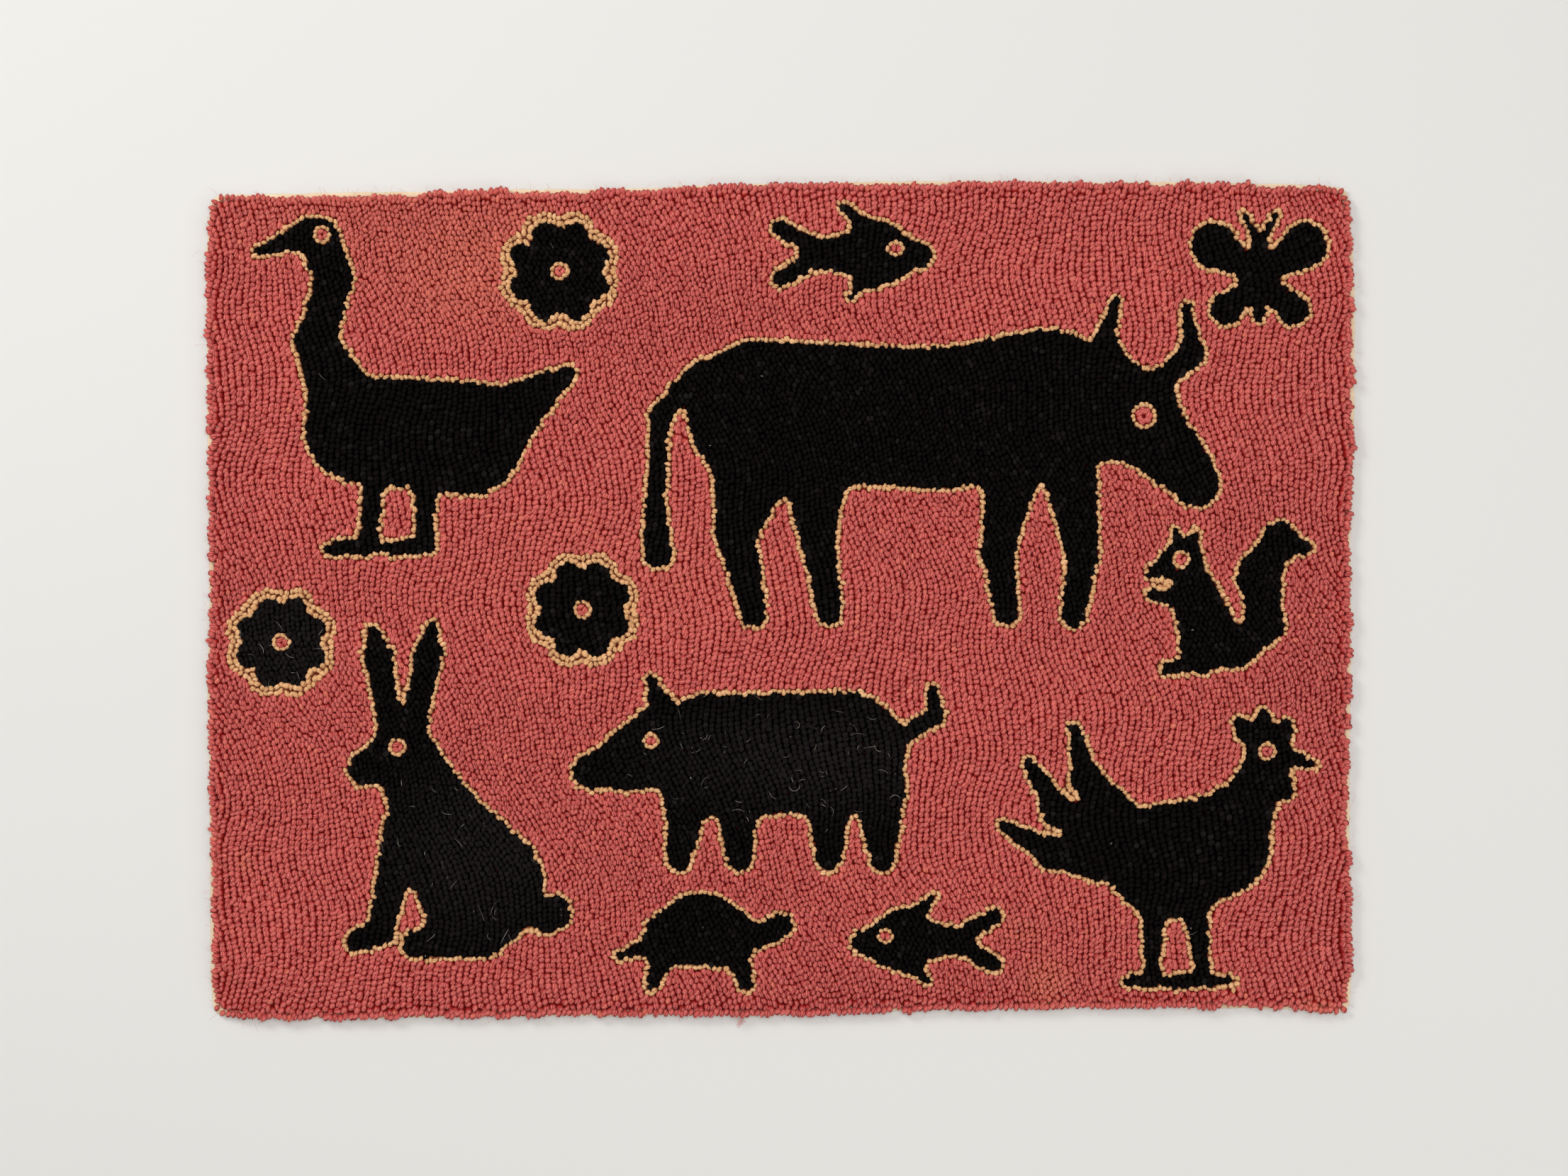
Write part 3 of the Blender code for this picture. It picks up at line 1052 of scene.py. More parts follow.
def pile_tree():
    """Geometry nodes that stand a loop on every point, with its own turn, size, tone and map cell."""
    tree = bpy.data.node_groups.new("hooked pile", "GeometryNodeTree")
    for name, kind in PILE_INPUTS:
        tree.interface.new_socket(name, in_out="INPUT", socket_type=kind)
    tree.interface.new_socket("Geometry", in_out="OUTPUT", socket_type="NodeSocketGeometry")
    given = tree.nodes.new("NodeGroupInput").outputs
    forms = node(
        tree, "GeometryNodeCollectionInfo", Collection=given["Forms"], Separate_Children=True
    ).outputs[0]
    turn = node(tree, "FunctionNodeEulerToRotation", i0=attribute(tree, "turn", "FLOAT_VECTOR"))
    placed = node(
        tree,
        "GeometryNodeInstanceOnPoints",
        Points=given["Geometry"],
        Instance=forms,
        Pick_Instance=True,
        Instance_Index=attribute(tree, "form", "INT"),
        Rotation=turn.outputs[0],
        Scale=attribute(tree, "size", "FLOAT_VECTOR"),
    )
    real = node(tree, "GeometryNodeRealizeInstances", Geometry=placed.outputs[0]).outputs[0]
    # Each loop is pushed a little out of shape by a noise that is finer than the loop.
    place = node(tree, "GeometryNodeInputPosition").outputs[0]
    scale = math_node(tree, "DIVIDE", 1.0, given["Lump Size"])
    noise = node(tree, "ShaderNodeTexNoise", Vector=place, Scale=scale, Detail=1.0)
    push = vector_node(tree, "SUBTRACT", noise.outputs["Color"], (0.5, 0.5, 0.5))
    push = vector_node(tree, "SCALE", push, given["Unevenness"])
    split = node(tree, "ShaderNodeSeparateXYZ", Vector=vector_node(tree, "ADD", place, push)).outputs
    raised = math_node(tree, "MAXIMUM", split["Z"], given["Lowest"])
    raised = node(tree, "ShaderNodeCombineXYZ", i0=split["X"], i1=split["Y"], i2=raised).outputs[0]
    moved = node(tree, "GeometryNodeSetPosition", Geometry=real, Position=raised).outputs[0]
    # A second map, for a picture laid over the pile: each loop has a square cell of its own.
    cell, cell_size, cell_place = (
        attribute(tree, name, "FLOAT_VECTOR") for name in ("cell", "cell_size", "cell_place")
    )
    cell = vector_node(tree, "ADD", vector_node(tree, "MULTIPLY", cell, cell_size), cell_place)
    mapped = node(
        tree,
        "GeometryNodeStoreNamedAttribute",
        {"data_type": "FLOAT2", "domain": "CORNER"},
        Geometry=moved,
        Name=BAKE_MAP,
        Value=cell,
    ).outputs[0]
    for name in ("turn", "size", "form", "cell", "cell_size", "cell_place"):
        mapped = node(tree, "GeometryNodeRemoveAttribute", Geometry=mapped, Name=name).outputs[0]
    smooth = node(tree, "GeometryNodeSetShadeSmooth", Geometry=mapped).outputs[0]
    coated = node(
        tree, "GeometryNodeSetMaterial", Geometry=smooth, Material=given["Material"]
    ).outputs[0]
    tree.links.new(coated, tree.nodes.new("NodeGroupOutput").inputs[0])
    return tree


def set_input(modifier, name, value):
    """Sets a Geometry Nodes modifier's input by the name of its socket."""
    for item in modifier.node_group.interface.items_tree:
        if item.item_type == "SOCKET" and item.in_out == "INPUT" and item.name == name:
            modifier[item.identifier] = value
            return
    raise ValueError(f"the node group has no input named {name}")


def add_attribute(mesh, name, values):
    """A whole, float or vector attribute with one value for each point."""
    values = np.asarray(values)
    if values.dtype.kind == "i":
        kind, field = "INT", "value"
    else:
        values = values.astype(np.float32)
        kind, field = ("FLOAT", "value") if values.ndim == 1 else ("FLOAT_VECTOR", "vector")
    mesh.attributes.new(name, kind, "POINT").data.foreach_set(field, values.ravel())


def turn_of(loops):
    """The Euler angles that lean each loop its way after it is turned to its heading."""
    heading = loops["heading"]
    lean_x, lean_y = loops["lean"].T
    # The lean in the loop's own frame: about its x axis and about its y axis.
    across = lean_x * np.cos(heading) + lean_y * np.sin(heading)
    ahead = -lean_x * np.sin(heading) + lean_y * np.cos(heading)
    return np.stack([-ahead, across, heading], axis=1)


def stand(name, forms, loops, heights, sizes, unevenness, lowest, material):
    """A plain mesh piece of copies of some forms, one on each of these loops' places."""
    count = len(loops)
    mesh = bpy.data.meshes.new(name)
    mesh.from_pydata(np.column_stack([loops["place"], heights]), [], [])
    picked = np.random.default_rng(count).integers(0, len(forms), count)
    # Neighbours in the rug are neighbours in the map, so that a blurred picture stays true.
    across = math.ceil(math.sqrt(count))
    row, column = np.divmod(np.arange(count), across)
    for attribute_name, values in (
        ("turn", turn_of(loops)),
        ("size", sizes),
        ("tone", loops["tone"]),
        ("form", picked.astype(np.int32)),
        ("cell_place", np.column_stack([column, row, np.zeros(count)]) / across),
        ("cell_size", np.full((count, 3), 1 / across)),
    ):
        add_attribute(mesh, attribute_name, values)
    made = add_object(name, mesh)
    held = bpy.data.collections.new("forms")
    for form in forms:
        held.objects.link(bpy.data.objects.new("form", form))
    modifier = made.modifiers.new("pile", "NODES")
    modifier.node_group = bpy.data.node_groups.get("hooked pile") or pile_tree()
    set_input(modifier, "Forms", held)
    set_input(modifier, "Material", material)
    set_input(modifier, "Unevenness", unevenness)
    set_input(modifier, "Lowest", lowest)
    set_input(modifier, "Lump Size", bpy.context.scene.rug_sizes.lump_size)
    graph = bpy.context.evaluated_depsgraph_get()
    real = bpy.data.meshes.new_from_object(made.evaluated_get(graph), depsgraph=graph)
    made.modifiers.clear()
    made.data = real
    real.name = name
    bpy.data.meshes.remove(mesh)
    for form in list(held.objects):
        bpy.data.objects.remove(form)
    bpy.data.collections.remove(held)
    return made


# The loops' feet end inside the cloth, and no form is placed with its top over the CAD pile.
FOOT_LOWEST = 0.6 * MM
FOOT_SINK = 0.15 * MM
PILE_TOP = 9.8 * MM

# How much painted light a loop's colour gets at its foot, where 1 is its top: the rim's loops are open
# to the side, so their feet get less painted shade.
DARKEST = 0.0
RIM_DARKEST = 0.7

# How deep the bands are in which the loops are put in order.
ORDER_BAND = 5 * MM


def in_order(loops):
    """The loops band by band from front to back, and from left to right in each."""
    x, y = loops["place"].T
    return loops[np.lexsort((x, np.rint(y / ORDER_BAND)))]


def pile_piece(name, loops, material, at_rim=False):
    """A piece of standing loops that replaces its share of the CAD pile."""
    loops = in_order(loops)
    inset, _ = inset_of(loops["place"], fold_line())
    heights = cloth_top(inset) - FOOT_SINK
    tall = np.minimum(loops["height"], PILE_TOP - heights)
    sizes = np.column_stack([loops["width"], loops["length"], tall])
    rings, darkest = (RIM_RINGS, RIM_DARKEST) if at_rim else (PILE_RINGS, DARKEST)
    tops = PLAIN_TOPS if (loops["dye"] == BLACK).all() else LOOP_TOPS
    forms = [loop_mesh("loop", rings, top, darkest) for top in tops]
    unevenness = bpy.context.scene.rug_sizes.unevenness
    piece = stand(name, forms, loops, heights, sizes, unevenness, FOOT_LOWEST, material)
    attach(piece, "root")
    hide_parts("pile")
    return piece


# How far the plies run across a stitch and along it, and how much painted shade darkens its sides.
STITCH_PLIES = (2.2, 1.6)
STITCH_SHADE = 0.3


def stitch_mesh():
    """One flat stitch on the rug's back: a low bar of unit size whose ridge points down."""
    points = [(-0.5, -0.5, 1), (0.5, -0.5, 1), (0.5, 0.5, 1), (-0.5, 0.5, 1), (0, -0.4, 0), (0, 0.4, 0)]
    faces = [(2, 5, 4, 1), (0, 4, 5, 3)]
    mesh = mesh_from("back_stitch", points, faces)
    flat = np.array([(x, y) for x, y, _ in points])
    add_uv(mesh, "cell", flat * 2 * CELL_USE + 0.5)
    across, along = STITCH_PLIES
    add_uv(mesh, YARN_MAP, np.column_stack([flat @ (across, along), flat @ (-along, across)]))
    add_attribute(mesh, "painted_light", [1.0 - STITCH_SHADE * z for _, _, z in points])
    return mesh


# A stitch's length and height, in loop spacings and stitch heights, and how much lower it lies on the
# slope up to the hem, and over which distance it comes to that.
STITCH_LENGTH = 1.15
STITCH_DEPTH = 1.2
SLOPE_SINK = 0.14 * MM
SLOPE_EASE = 2 * MM


def back_piece(name, loops, material):
    """The stitches on the rug's back that lead from each of these loops to the next."""
    sizes = bpy.context.scene.rug_sizes
    heading = loops["heading"]
    loops["place"] += sizes.loop_spacing / 2 * np.stack([-np.sin(heading), np.cos(heading)], axis=1)
    loops = in_order(loops)
    inset, outward = inset_of(loops["place"], fold_line())
    kept = inset > HEM_WIDTH + MM
    loops, inset, outward = loops[kept], inset[kept], outward[kept]
    # On the slope up to the hem the stitches lie along the cloth.
    slope = (HEM_TOP - MIDDLE_TOP) / HEM_RAMP * (inset < HEM_WIDTH + HEM_RAMP)
    loops["lean"] = -outward * slope[:, None]
    low = cloth_top(inset) - sizes.cloth_thickness - sizes.stitch_height
    low -= SLOPE_SINK * np.clip((HEM_WIDTH + HEM_RAMP - inset) / SLOPE_EASE, 0, 1)
    length, height = STITCH_LENGTH * sizes.loop_spacing, STITCH_DEPTH * sizes.stitch_height
    form = np.tile([sizes.stitch_width, length, height], (len(loops), 1))
    piece = stand(name, [stitch_mesh()], loops, low, form, 0.0, 0.0, material)
    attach(piece, "root")
    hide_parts("pile")
    return piece


# How the cloth's fold and the hem's raw edge wander, and how far in each dies away.
FOLD_WAVES = ((97, 0.22 * MM, 0.0), (151, 0.18 * MM, 0.0))
FOLD_EASE = 6 * MM
HEM_WAVES = ((23, 0.8 * MM, 0.0), (61, 0.5 * MM, 0.0))
HEM_EASE = 4 * MM

# How far in the painted shade of the pile on the cloth ends, the fold begins, the layers lie flat, and
# the hem's raw edge lies. The first few rings of the cloth's section get that painted shade.
PILE_EDGE = 4.8 * MM
FOLD_EDGE = 3.4 * MM
FLAT_EDGE = 12 * MM
HEM_END = HEM_WIDTH - MM
RAW_EDGE = HEM_WIDTH - 0.6 * MM
PILE_SHADE_RINGS = 3


def round_fold(depth, turns):
    """Insets and heights round the cloth's fold, this deep inside its outer face."""
    half = FOLD_HEIGHT - depth
    return [(depth + half * (1 - math.sin(turn)), FOLD_HEIGHT + half * math.cos(turn)) for turn in turns]


def cloth_section(thick):
    """Insets and heights round the folded cloth, from its upper face in the rug's middle and back."""
    middle = HEM_WIDTH + HEM_RAMP
    return [
        (middle, MIDDLE_TOP), (HEM_WIDTH, HEM_TOP), (PILE_EDGE, HEM_TOP), (FOLD_EDGE, HEM_TOP),
        *round_fold(0.0, np.linspace(0, math.pi, 9)),
        (FLAT_EDGE, 0.0), (HEM_END, 0.0), (RAW_EDGE, thick / 2), (HEM_END, thick), (FLAT_EDGE, thick),
        *round_fold(thick, np.linspace(math.pi, 0, 5)),
        (FLAT_EDGE, HEM_TOP - thick), (HEM_WIDTH, HEM_TOP - thick), (middle, MIDDLE_TOP - thick),
    ]


def cloth_mesh():
    """The foundation cloth: one thin sheet that folds under itself all round as a hem."""
    sizes = bpy.context.scene.rug_sizes
    thick = sizes.cloth_thickness
    line, _ = even_line(fold_line(), sizes.cloth_step)
    count = len(line)
    way = 2 * math.pi * np.arange(count) / count
    rings = []
    for inset, height in cloth_section(thick):
        at_fold = smooth_step(1 - inset / FOLD_EASE)
        at_hem = smooth_step(1 - abs(inset - HEM_END) / HEM_EASE) * (height <= thick)
        waved = inset - ripples(way, FOLD_WAVES) * at_fold - ripples(way, HEM_WAVES) * at_hem
        rings.append(np.column_stack([inset_line(line, waved[:, None]), np.full(count, height)]))
    faces = []
    for ring in range(len(rings) - 1):
        for i in range(count):
            after = (i + 1) % count
            low, high = ring * count, (ring + 1) * count
            faces.append((low + i, high + i, high + after, low + after))
    faces.append(tuple(range(count)))
    faces.append(tuple(reversed(range((len(rings) - 1) * count, len(rings) * count))))
    mesh = mesh_from("foundation_cloth", np.concatenate(rings), faces)
    # Painted shade of the pile on the cloth's upper face, from the middle out to the pile's edge.
    painted_pile_shade = np.zeros(len(rings) * count)
    painted_pile_shade[: PILE_SHADE_RINGS * count] = 1.0
    add_attribute(mesh, "painted_pile_shade", painted_pile_shade)
    mesh.set_sharp_from_angle(angle=math.radians(45))
    return mesh


# A stray fibre: where it starts, which way it goes, how long and how thick it is, how it bends, and how
# far it drops.
FIBRE_NUMBERS = ("turn", "length", "half", "bend", "drop")
FIBRE_TYPE = np.dtype([("start", float, 3), *((name, float) for name in FIBRE_NUMBERS)])
FIBRE_STEPS = 6

# How much of a fibre's taper is cut off at either end.
FIBRE_TIP = 0.08

# The fuzz at the rim: how far in its fibres start and how far apart, how far they scatter from there,
# from which to which height in millimetres, how far they are turned and bent, and how far they drop.
FUZZ_INSET = 1.5 * MM
FUZZ_SPACING = 5 * MM
FUZZ_SCATTER = 1.2 * MM
FUZZ_HEIGHTS = (4.5, 8.5)
FUZZ_TURN = 0.8
FUZZ_BEND = 0.5
FUZZ_DROP = (0.0, 0.5)

# The shape and scale of the law that the fibres' lengths follow, and their half widths in millimetres.
FUZZ_LENGTH = (4, 1.1 * MM)
FUZZ_HALF = (0.05, 0.09)

# The frayed tuft at the front edge: its place, how many fibres it has, how far they are turned, their
# lengths in millimetres and their half width.
TUFT = (-32 * MM, -334.2 * MM, 5 * MM)
TUFT_FIBRES = 14
TUFT_TURN = 0.35
TUFT_LENGTH = (4, 7.5)
TUFT_HALF = 0.12 * MM


def rim_fuzz():
    """Short fibres that stand out from the rug's edge all round, and a frayed tuft at the front."""
    rng = np.random.default_rng(bpy.context.scene.rug_sizes.seed + 1)
    points, ahead = even_line(inset_line(fold_line(), FUZZ_INSET), FUZZ_SPACING)
    outward = outward_of(ahead)
    count = len(points)
    fibres = np.zeros(count, FIBRE_TYPE)
    fibres["start"][:, :2] = points + rng.normal(0, FUZZ_SCATTER, (count, 2))
    fibres["start"][:, 2] = rng.uniform(*FUZZ_HEIGHTS, count) * MM
    fibres["turn"] = np.arctan2(outward[:, 1], outward[:, 0]) + rng.normal(0, FUZZ_TURN, count)
    fibres["length"] = rng.gamma(*FUZZ_LENGTH, count)
    fibres["half"] = rng.uniform(*FUZZ_HALF, count) * MM
    fibres["bend"] = rng.normal(0, FUZZ_BEND, count)
    fibres["drop"] = rng.uniform(*FUZZ_DROP, count)
    tuft = fibres[:TUFT_FIBRES].copy()
    tuft["start"] = np.array(TUFT) + rng.normal(0, MM, (TUFT_FIBRES, 3))
    tuft["turn"] = -math.pi / 2 + rng.normal(0, TUFT_TURN, TUFT_FIBRES)
    tuft["length"] = rng.uniform(*TUFT_LENGTH, TUFT_FIBRES) * MM
    tuft["half"] = TUFT_HALF
    return np.concatenate([fibres, tuft])


# How many pale hairs and specks there are, how likely a hair is away from the worn figures, and how
# deep they lie in the loops.
HAIRS = 110
SPECKS = 26
HAIR_ELSEWHERE = 0.012
LINT_SINK = 0.1 * MM

# The law of the hairs' lengths, their half widths in millimetres and their bend, and the lengths and
# half widths of the specks in millimetres.
HAIR_LENGTH = (3.2, 1.9 * MM)
HAIR_HALF = (0.06, 0.15)
HAIR_BEND = 1.3
SPECK_LENGTH = (0.9, 2.2)
SPECK_HALF = (0.2, 0.42)


def pale_lint():
    """Pale hairs caught in the worn figures, and small pale specks all over."""
    rng = np.random.default_rng(bpy.context.scene.rug_sizes.seed + 2)
    loops = laid_out()
    black = loops[loops["dye"] == BLACK]
    near = np.full(len(black), HAIR_ELSEWHERE)
    for worn in WORN_FIGURES:
        near = np.maximum(near, smooth_step(LINT_END - away_from(black["place"], worn)))
    hairs = rng.choice(len(black), HAIRS, replace=False, p=near / near.sum())
    specks = rng.choice(len(loops), SPECKS, replace=False)
    under = np.concatenate([black[hairs], loops[specks]])
    count = len(under)
    fibres = np.zeros(count, FIBRE_TYPE)
    fibres["start"][:, :2] = under["place"]
    inset, _ = inset_of(under["place"], fold_line())
    fibres["start"][:, 2] = cloth_top(inset) + under["height"] - LINT_SINK
    fibres["turn"] = rng.uniform(-math.pi, math.pi, count)
    fibres["length"] = rng.gamma(*HAIR_LENGTH, count)
    fibres["half"] = rng.uniform(*HAIR_HALF, count) * MM
    fibres["bend"] = rng.normal(0, HAIR_BEND, count)
    fibres["length"][HAIRS:] = rng.uniform(*SPECK_LENGTH, SPECKS) * MM
    fibres["half"][HAIRS:] = rng.uniform(*SPECK_HALF, SPECKS) * MM
    return fibres


def fibre_mesh(name, fibres):
    """Thin three-sided tubes that bend evenly along their way, with pointed ends."""
    share = np.linspace(0, 1, FIBRE_STEPS)
    turn = fibres["turn"][:, None] + fibres["bend"][:, None] * share
    step = fibres["length"][:, None] / (FIBRE_STEPS - 1)
    run = np.stack([np.cos(turn), np.sin(turn), -fibres["drop"][:, None] * share], axis=2)
    run *= step[:, :, None]
    centre = fibres["start"][:, None, :] + np.cumsum(run, axis=1) - run
    side = np.stack([-np.sin(turn), np.cos(turn), np.zeros_like(turn)], axis=2)
    taper = np.sqrt(np.sin(math.pi * (FIBRE_TIP + (1 - 2 * FIBRE_TIP) * share)))
    half = fibres["half"][:, None, None] * taper[:, None]
    up = np.array([0.0, 0.0, 1.0])
    rings = [
        centre + half * (math.cos(angle) * side + math.sin(angle) * up)
        for angle in (-math.pi / 6, math.pi / 2, math.pi * 7 / 6)
    ]
    points = np.stack(rings, axis=2).reshape(-1, 3)
    faces = []
    for fibre in range(len(fibres)):
        first = fibre * FIBRE_STEPS * 3
        for low in range(first, first + (FIBRE_STEPS - 1) * 3, 3):
            for corner in range(3):
                after = (corner + 1) % 3
                faces.append((low + corner, low + after, low + 3 + after, low + 3 + corner))
        faces.append((first, first + 2, first + 1))
        last = first + (FIBRE_STEPS - 1) * 3
        faces.append((last, last + 1, last + 2))
    return mesh_from(name, points, faces)


def fibre_piece(name, fibres, material):
    """A piece of stray fibres, which are part of the pile."""
    mesh = fibre_mesh(name, fibres)
    add_attribute(mesh, "painted_light", np.ones(len(mesh.vertices)))
    piece = add_object(name, mesh, material)
    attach(piece, "root")
    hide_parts("pile")
    return piece


# Materials


def new_group(name, inputs, outputs):
    """An empty shader node group with named sockets, and its input and output nodes' sockets."""
    tree = bpy.data.node_groups.new(name, "ShaderNodeTree")
    for socket, kind in inputs:
        tree.interface.new_socket(socket, in_out="INPUT", socket_type=kind)
    for socket, kind in outputs:
        tree.interface.new_socket(socket, in_out="OUTPUT", socket_type=kind)
    given = tree.nodes.new("NodeGroupInput").outputs
    asked = tree.nodes.new("NodeGroupOutput").inputs
    return tree, given, asked


def map_range(tree, value, low, high, to_low=0.0, to_high=1.0):
    """A value moved from one range to another, held inside the new one."""
    return node(
        tree, "ShaderNodeMapRange", i0=value, i1=low, i2=high, i3=to_low, i4=to_high
    ).outputs[0]


def mix_colour(tree, share, first, second, mode="MIX"):
    """A blend of two colours."""
    settings = {"data_type": "RGBA", "blend_type": mode}
    return node(tree, "ShaderNodeMix", settings, i0=share, i6=first, i7=second).outputs[2]


def ply_group():
    """Plied yarn: the height of its twisted plies and fibres, and a mask of the grooves between."""
    made = bpy.data.node_groups.get("plied yarn")
    if made:
        return made
    number = "NodeSocketFloat"
    tree, given, asked = new_group(
        "plied yarn",
        (("Yarn", "NodeSocketVector"), ("Fuzz", number)),
        (("Height", number), ("Groove", number), ("Fibre", number)),
    )
    warp = node(tree, "ShaderNodeTexNoise", Vector=given["Yarn"], Scale=1.3, Detail=1.0)
    warped = math_node(tree, "MULTIPLY", warp.outputs["Fac"], 0.7)
    split = node(tree, "ShaderNodeSeparateXYZ", Vector=given["Yarn"]).outputs
    phase = math_node(tree, "ADD", split["X"], math_node(tree, "SUBTRACT", warped, 0.35))
    wave = math_node(tree, "COSINE", math_node(tree, "MULTIPLY", phase, math.pi))
    ridge = math_node(tree, "ABSOLUTE", wave)
    # Each ply is itself twisted of finer strands, which slant the other way.
    strand = math_node(tree, "ADD", math_node(tree, "MULTIPLY", phase, 2.6), split["Y"])
    strand = math_node(tree, "SINE", math_node(tree, "MULTIPLY", strand, 2 * math.pi))
    along = vector_node(tree, "MULTIPLY", given["Yarn"], (3.0, 1.0, 1.0))
    fibre = node(tree, "ShaderNodeTexNoise", Vector=along, Scale=2.2, Detail=3.0).outputs["Fac"]
    fuzz = math_node(tree, "MULTIPLY", fibre, given["Fuzz"])
    fuzz = math_node(tree, "ADD", fuzz, math_node(tree, "MULTIPLY", strand, 0.07))
    tree.links.new(math_node(tree, "ADD", ridge, fuzz), asked["Height"])
    tree.links.new(math_node(tree, "SUBTRACT", 1.0, ridge), asked["Groove"])
    tree.links.new(fibre, asked["Fibre"])
    return tree


def patch_group():
    """Soft patches over the rug, as where it has faded or is soiled, from 0 to 1."""
    made = bpy.data.node_groups.get("uneven dye")
    if made:
        return made
    tree, given, asked = new_group(
        "uneven dye",
        (("Place", "NodeSocketVector"), ("Patch Size", "NodeSocketFloat")),
        (("Patch", "NodeSocketFloat"),),
    )
    scale = math_node(tree, "DIVIDE", 1.0, given["Patch Size"])
    noise = node(tree, "ShaderNodeTexNoise", Vector=given["Place"], Scale=scale, Detail=3.0)
    patch = map_range(tree, noise.outputs["Fac"], 0.36, 0.64)
    tree.links.new(patch, asked["Patch"])
    return tree


def use_group(tree, group, **inputs):
    """The outputs of a node that uses a group, with its inputs filled."""
    return node(tree, "ShaderNodeGroup", {"node_tree": group}, **inputs).outputs


def new_material(name):
    """A new material, its node tree and its shader's node."""
    material = bpy.data.materials.new(name)
    material.use_nodes = True
    return material, material.node_tree, material.node_tree.nodes["Principled BSDF"]


def coat(tree, shader, **inputs):
    """Fills the shader's inputs, by their names."""
    for name, value in inputs.items():
        fill(tree, shader.inputs[name.replace("_", " ")], value)


def read_attribute(tree, name):
    """The number that an attribute holds."""
    return node(tree, "ShaderNodeAttribute", {"attribute_name": name}).outputs["Fac"]


def colour_of(value):
    """A colour property as four numbers."""
    return (*value, 1.0)


# A faded or deep zone: middle, half sizes in millimetres, and how strong it is.
Zone = namedtuple("Zone", "x y half_x half_y strength")
FADED = (
    Zone(-238, 268, 90, 56, 0.62),
    Zone(-330, 300, 120, 36, 0.3),
    Zone(-120, 20, 150, 60, 0.14),
    Zone(212, -304, 20, 22, 0.7),
    Zone(192, -264, 16, 11, 0.5),
    Zone(428, -322, 14, 10, 0.5),
    Zone(-427, -208, 8, 10, 0.6),
)
DEEP = (
    Zone(420, -120, 60, 260, 0.5),
    Zone(0, -330, 470, 45, 0.45),
    Zone(-440, 60, 26, 260, 0.3),
    Zone(446, -284, 15, 13, 1.0),
    Zone(424, -266, 14, 10, 0.8),
)


# Where a zone begins to fade and where it ends, for 1 at its edge, and how strong wear is on black.
ZONE_EDGE = (0.35, 1.35)
WORN_STRENGTH = 0.9


def zone_mask(tree, place, zones):
    """How far a place lies in any of some oval zones with soft edges."""
    found = None
    for zone in zones:
        offset = vector_node(tree, "SUBTRACT", place, (zone.x * MM, zone.y * MM, 0))
        scaled = vector_node(
            tree, "MULTIPLY", offset, (1 / (zone.half_x * MM), 1 / (zone.half_y * MM), 0)
        )
        away = node(tree, "ShaderNodeVectorMath", {"operation": "LENGTH"}, i0=scaled)
        mask = map_range(tree, away.outputs["Value"], *ZONE_EDGE, zone.strength, 0.0)
        found = mask if found is None else math_node(tree, "MAXIMUM", found, mask)
    return found


def coral_wear(tree, top, place, tone, patch):
    """Coral yarn: faded to salmon in places, deeper in others, with a few loops of a pinker lot."""
    colours = bpy.context.scene.rug_colours
    faded, deep = colour_of(colours.coral_faded), colour_of(colours.coral_deep)
    colour = mix_colour(tree, map_range(tree, patch, 0, 1, 0.0, 0.24), top, deep)
    colour = mix_colour(tree, zone_mask(tree, place, DEEP), colour, deep)
    colour = mix_colour(tree, zone_mask(tree, place, FADED), colour, faded)
    pale = map_range(tree, tone, 1.6, 2.8, 0.0, 0.75)
    colour = mix_colour(tree, pale, colour, faded)
    dark = map_range(tree, tone, -0.6, -2.4, 0.0, 0.4)
    return mix_colour(tree, dark, colour, deep)


def gold_wear(tree, top, place, tone, patch):
    """Gold yarn: paler and browner loops among the rest."""
    colours = bpy.context.scene.rug_colours
    colour = mix_colour(
        tree, map_range(tree, tone, 0.2, 2.0, 0.0, 0.6), top, colour_of(colours.gold_pale_and_highlight)
    )
    brown = map_range(tree, tone, -0.2, -2.0, 0.0, 0.6)
    return mix_colour(tree, brown, colour, colour_of(colours.gold_brown))


def black_wear(tree, top, place, tone, patch):
    """Black yarn: greyed where the pile is worn, and from loop to loop."""
    colours = bpy.context.scene.rug_colours
    zones = [Zone(*worn[:4], WORN_STRENGTH) for worn in WORN_FIGURES]
    worn = zone_mask(tree, place, zones)
    worn = math_node(tree, "MULTIPLY", worn, map_range(tree, tone, -2.0, 2.0, 0.5, 1.0))
    worn = math_node(tree, "MAXIMUM", worn, map_range(tree, tone, 0.6, 2.6, 0.0, 0.8))
    return mix_colour(tree, worn, top, colour_of(colours.black_worn))


# A wool: how it wears, the colour of the painted highlight on its ridges, how much its fibres stand
# out, how dark and bright its flecks are, and how it reflects.
Wool = namedtuple("Wool", "wear ridge fuzz flecks rough specular sheen sheen_tint")
WOOLS = {
    "coral": Wool(coral_wear, "coral_highlight", 0.5, (0.84, 1.18), 0.9, 0.08, 0.04, (1.0, 0.5, 0.4)),
    "gold": Wool(gold_wear, "gold_pale_and_highlight", 0.6, (0.8, 1.2), 0.9, 0.1, 0.08, (1.0, 0.8, 0.55)),
    "black": Wool(black_wear, "black_highlight", 0.9, (0.1, 2.6), 0.96, 0.02, 0.0, (1.0, 1.0, 1.0)),
}


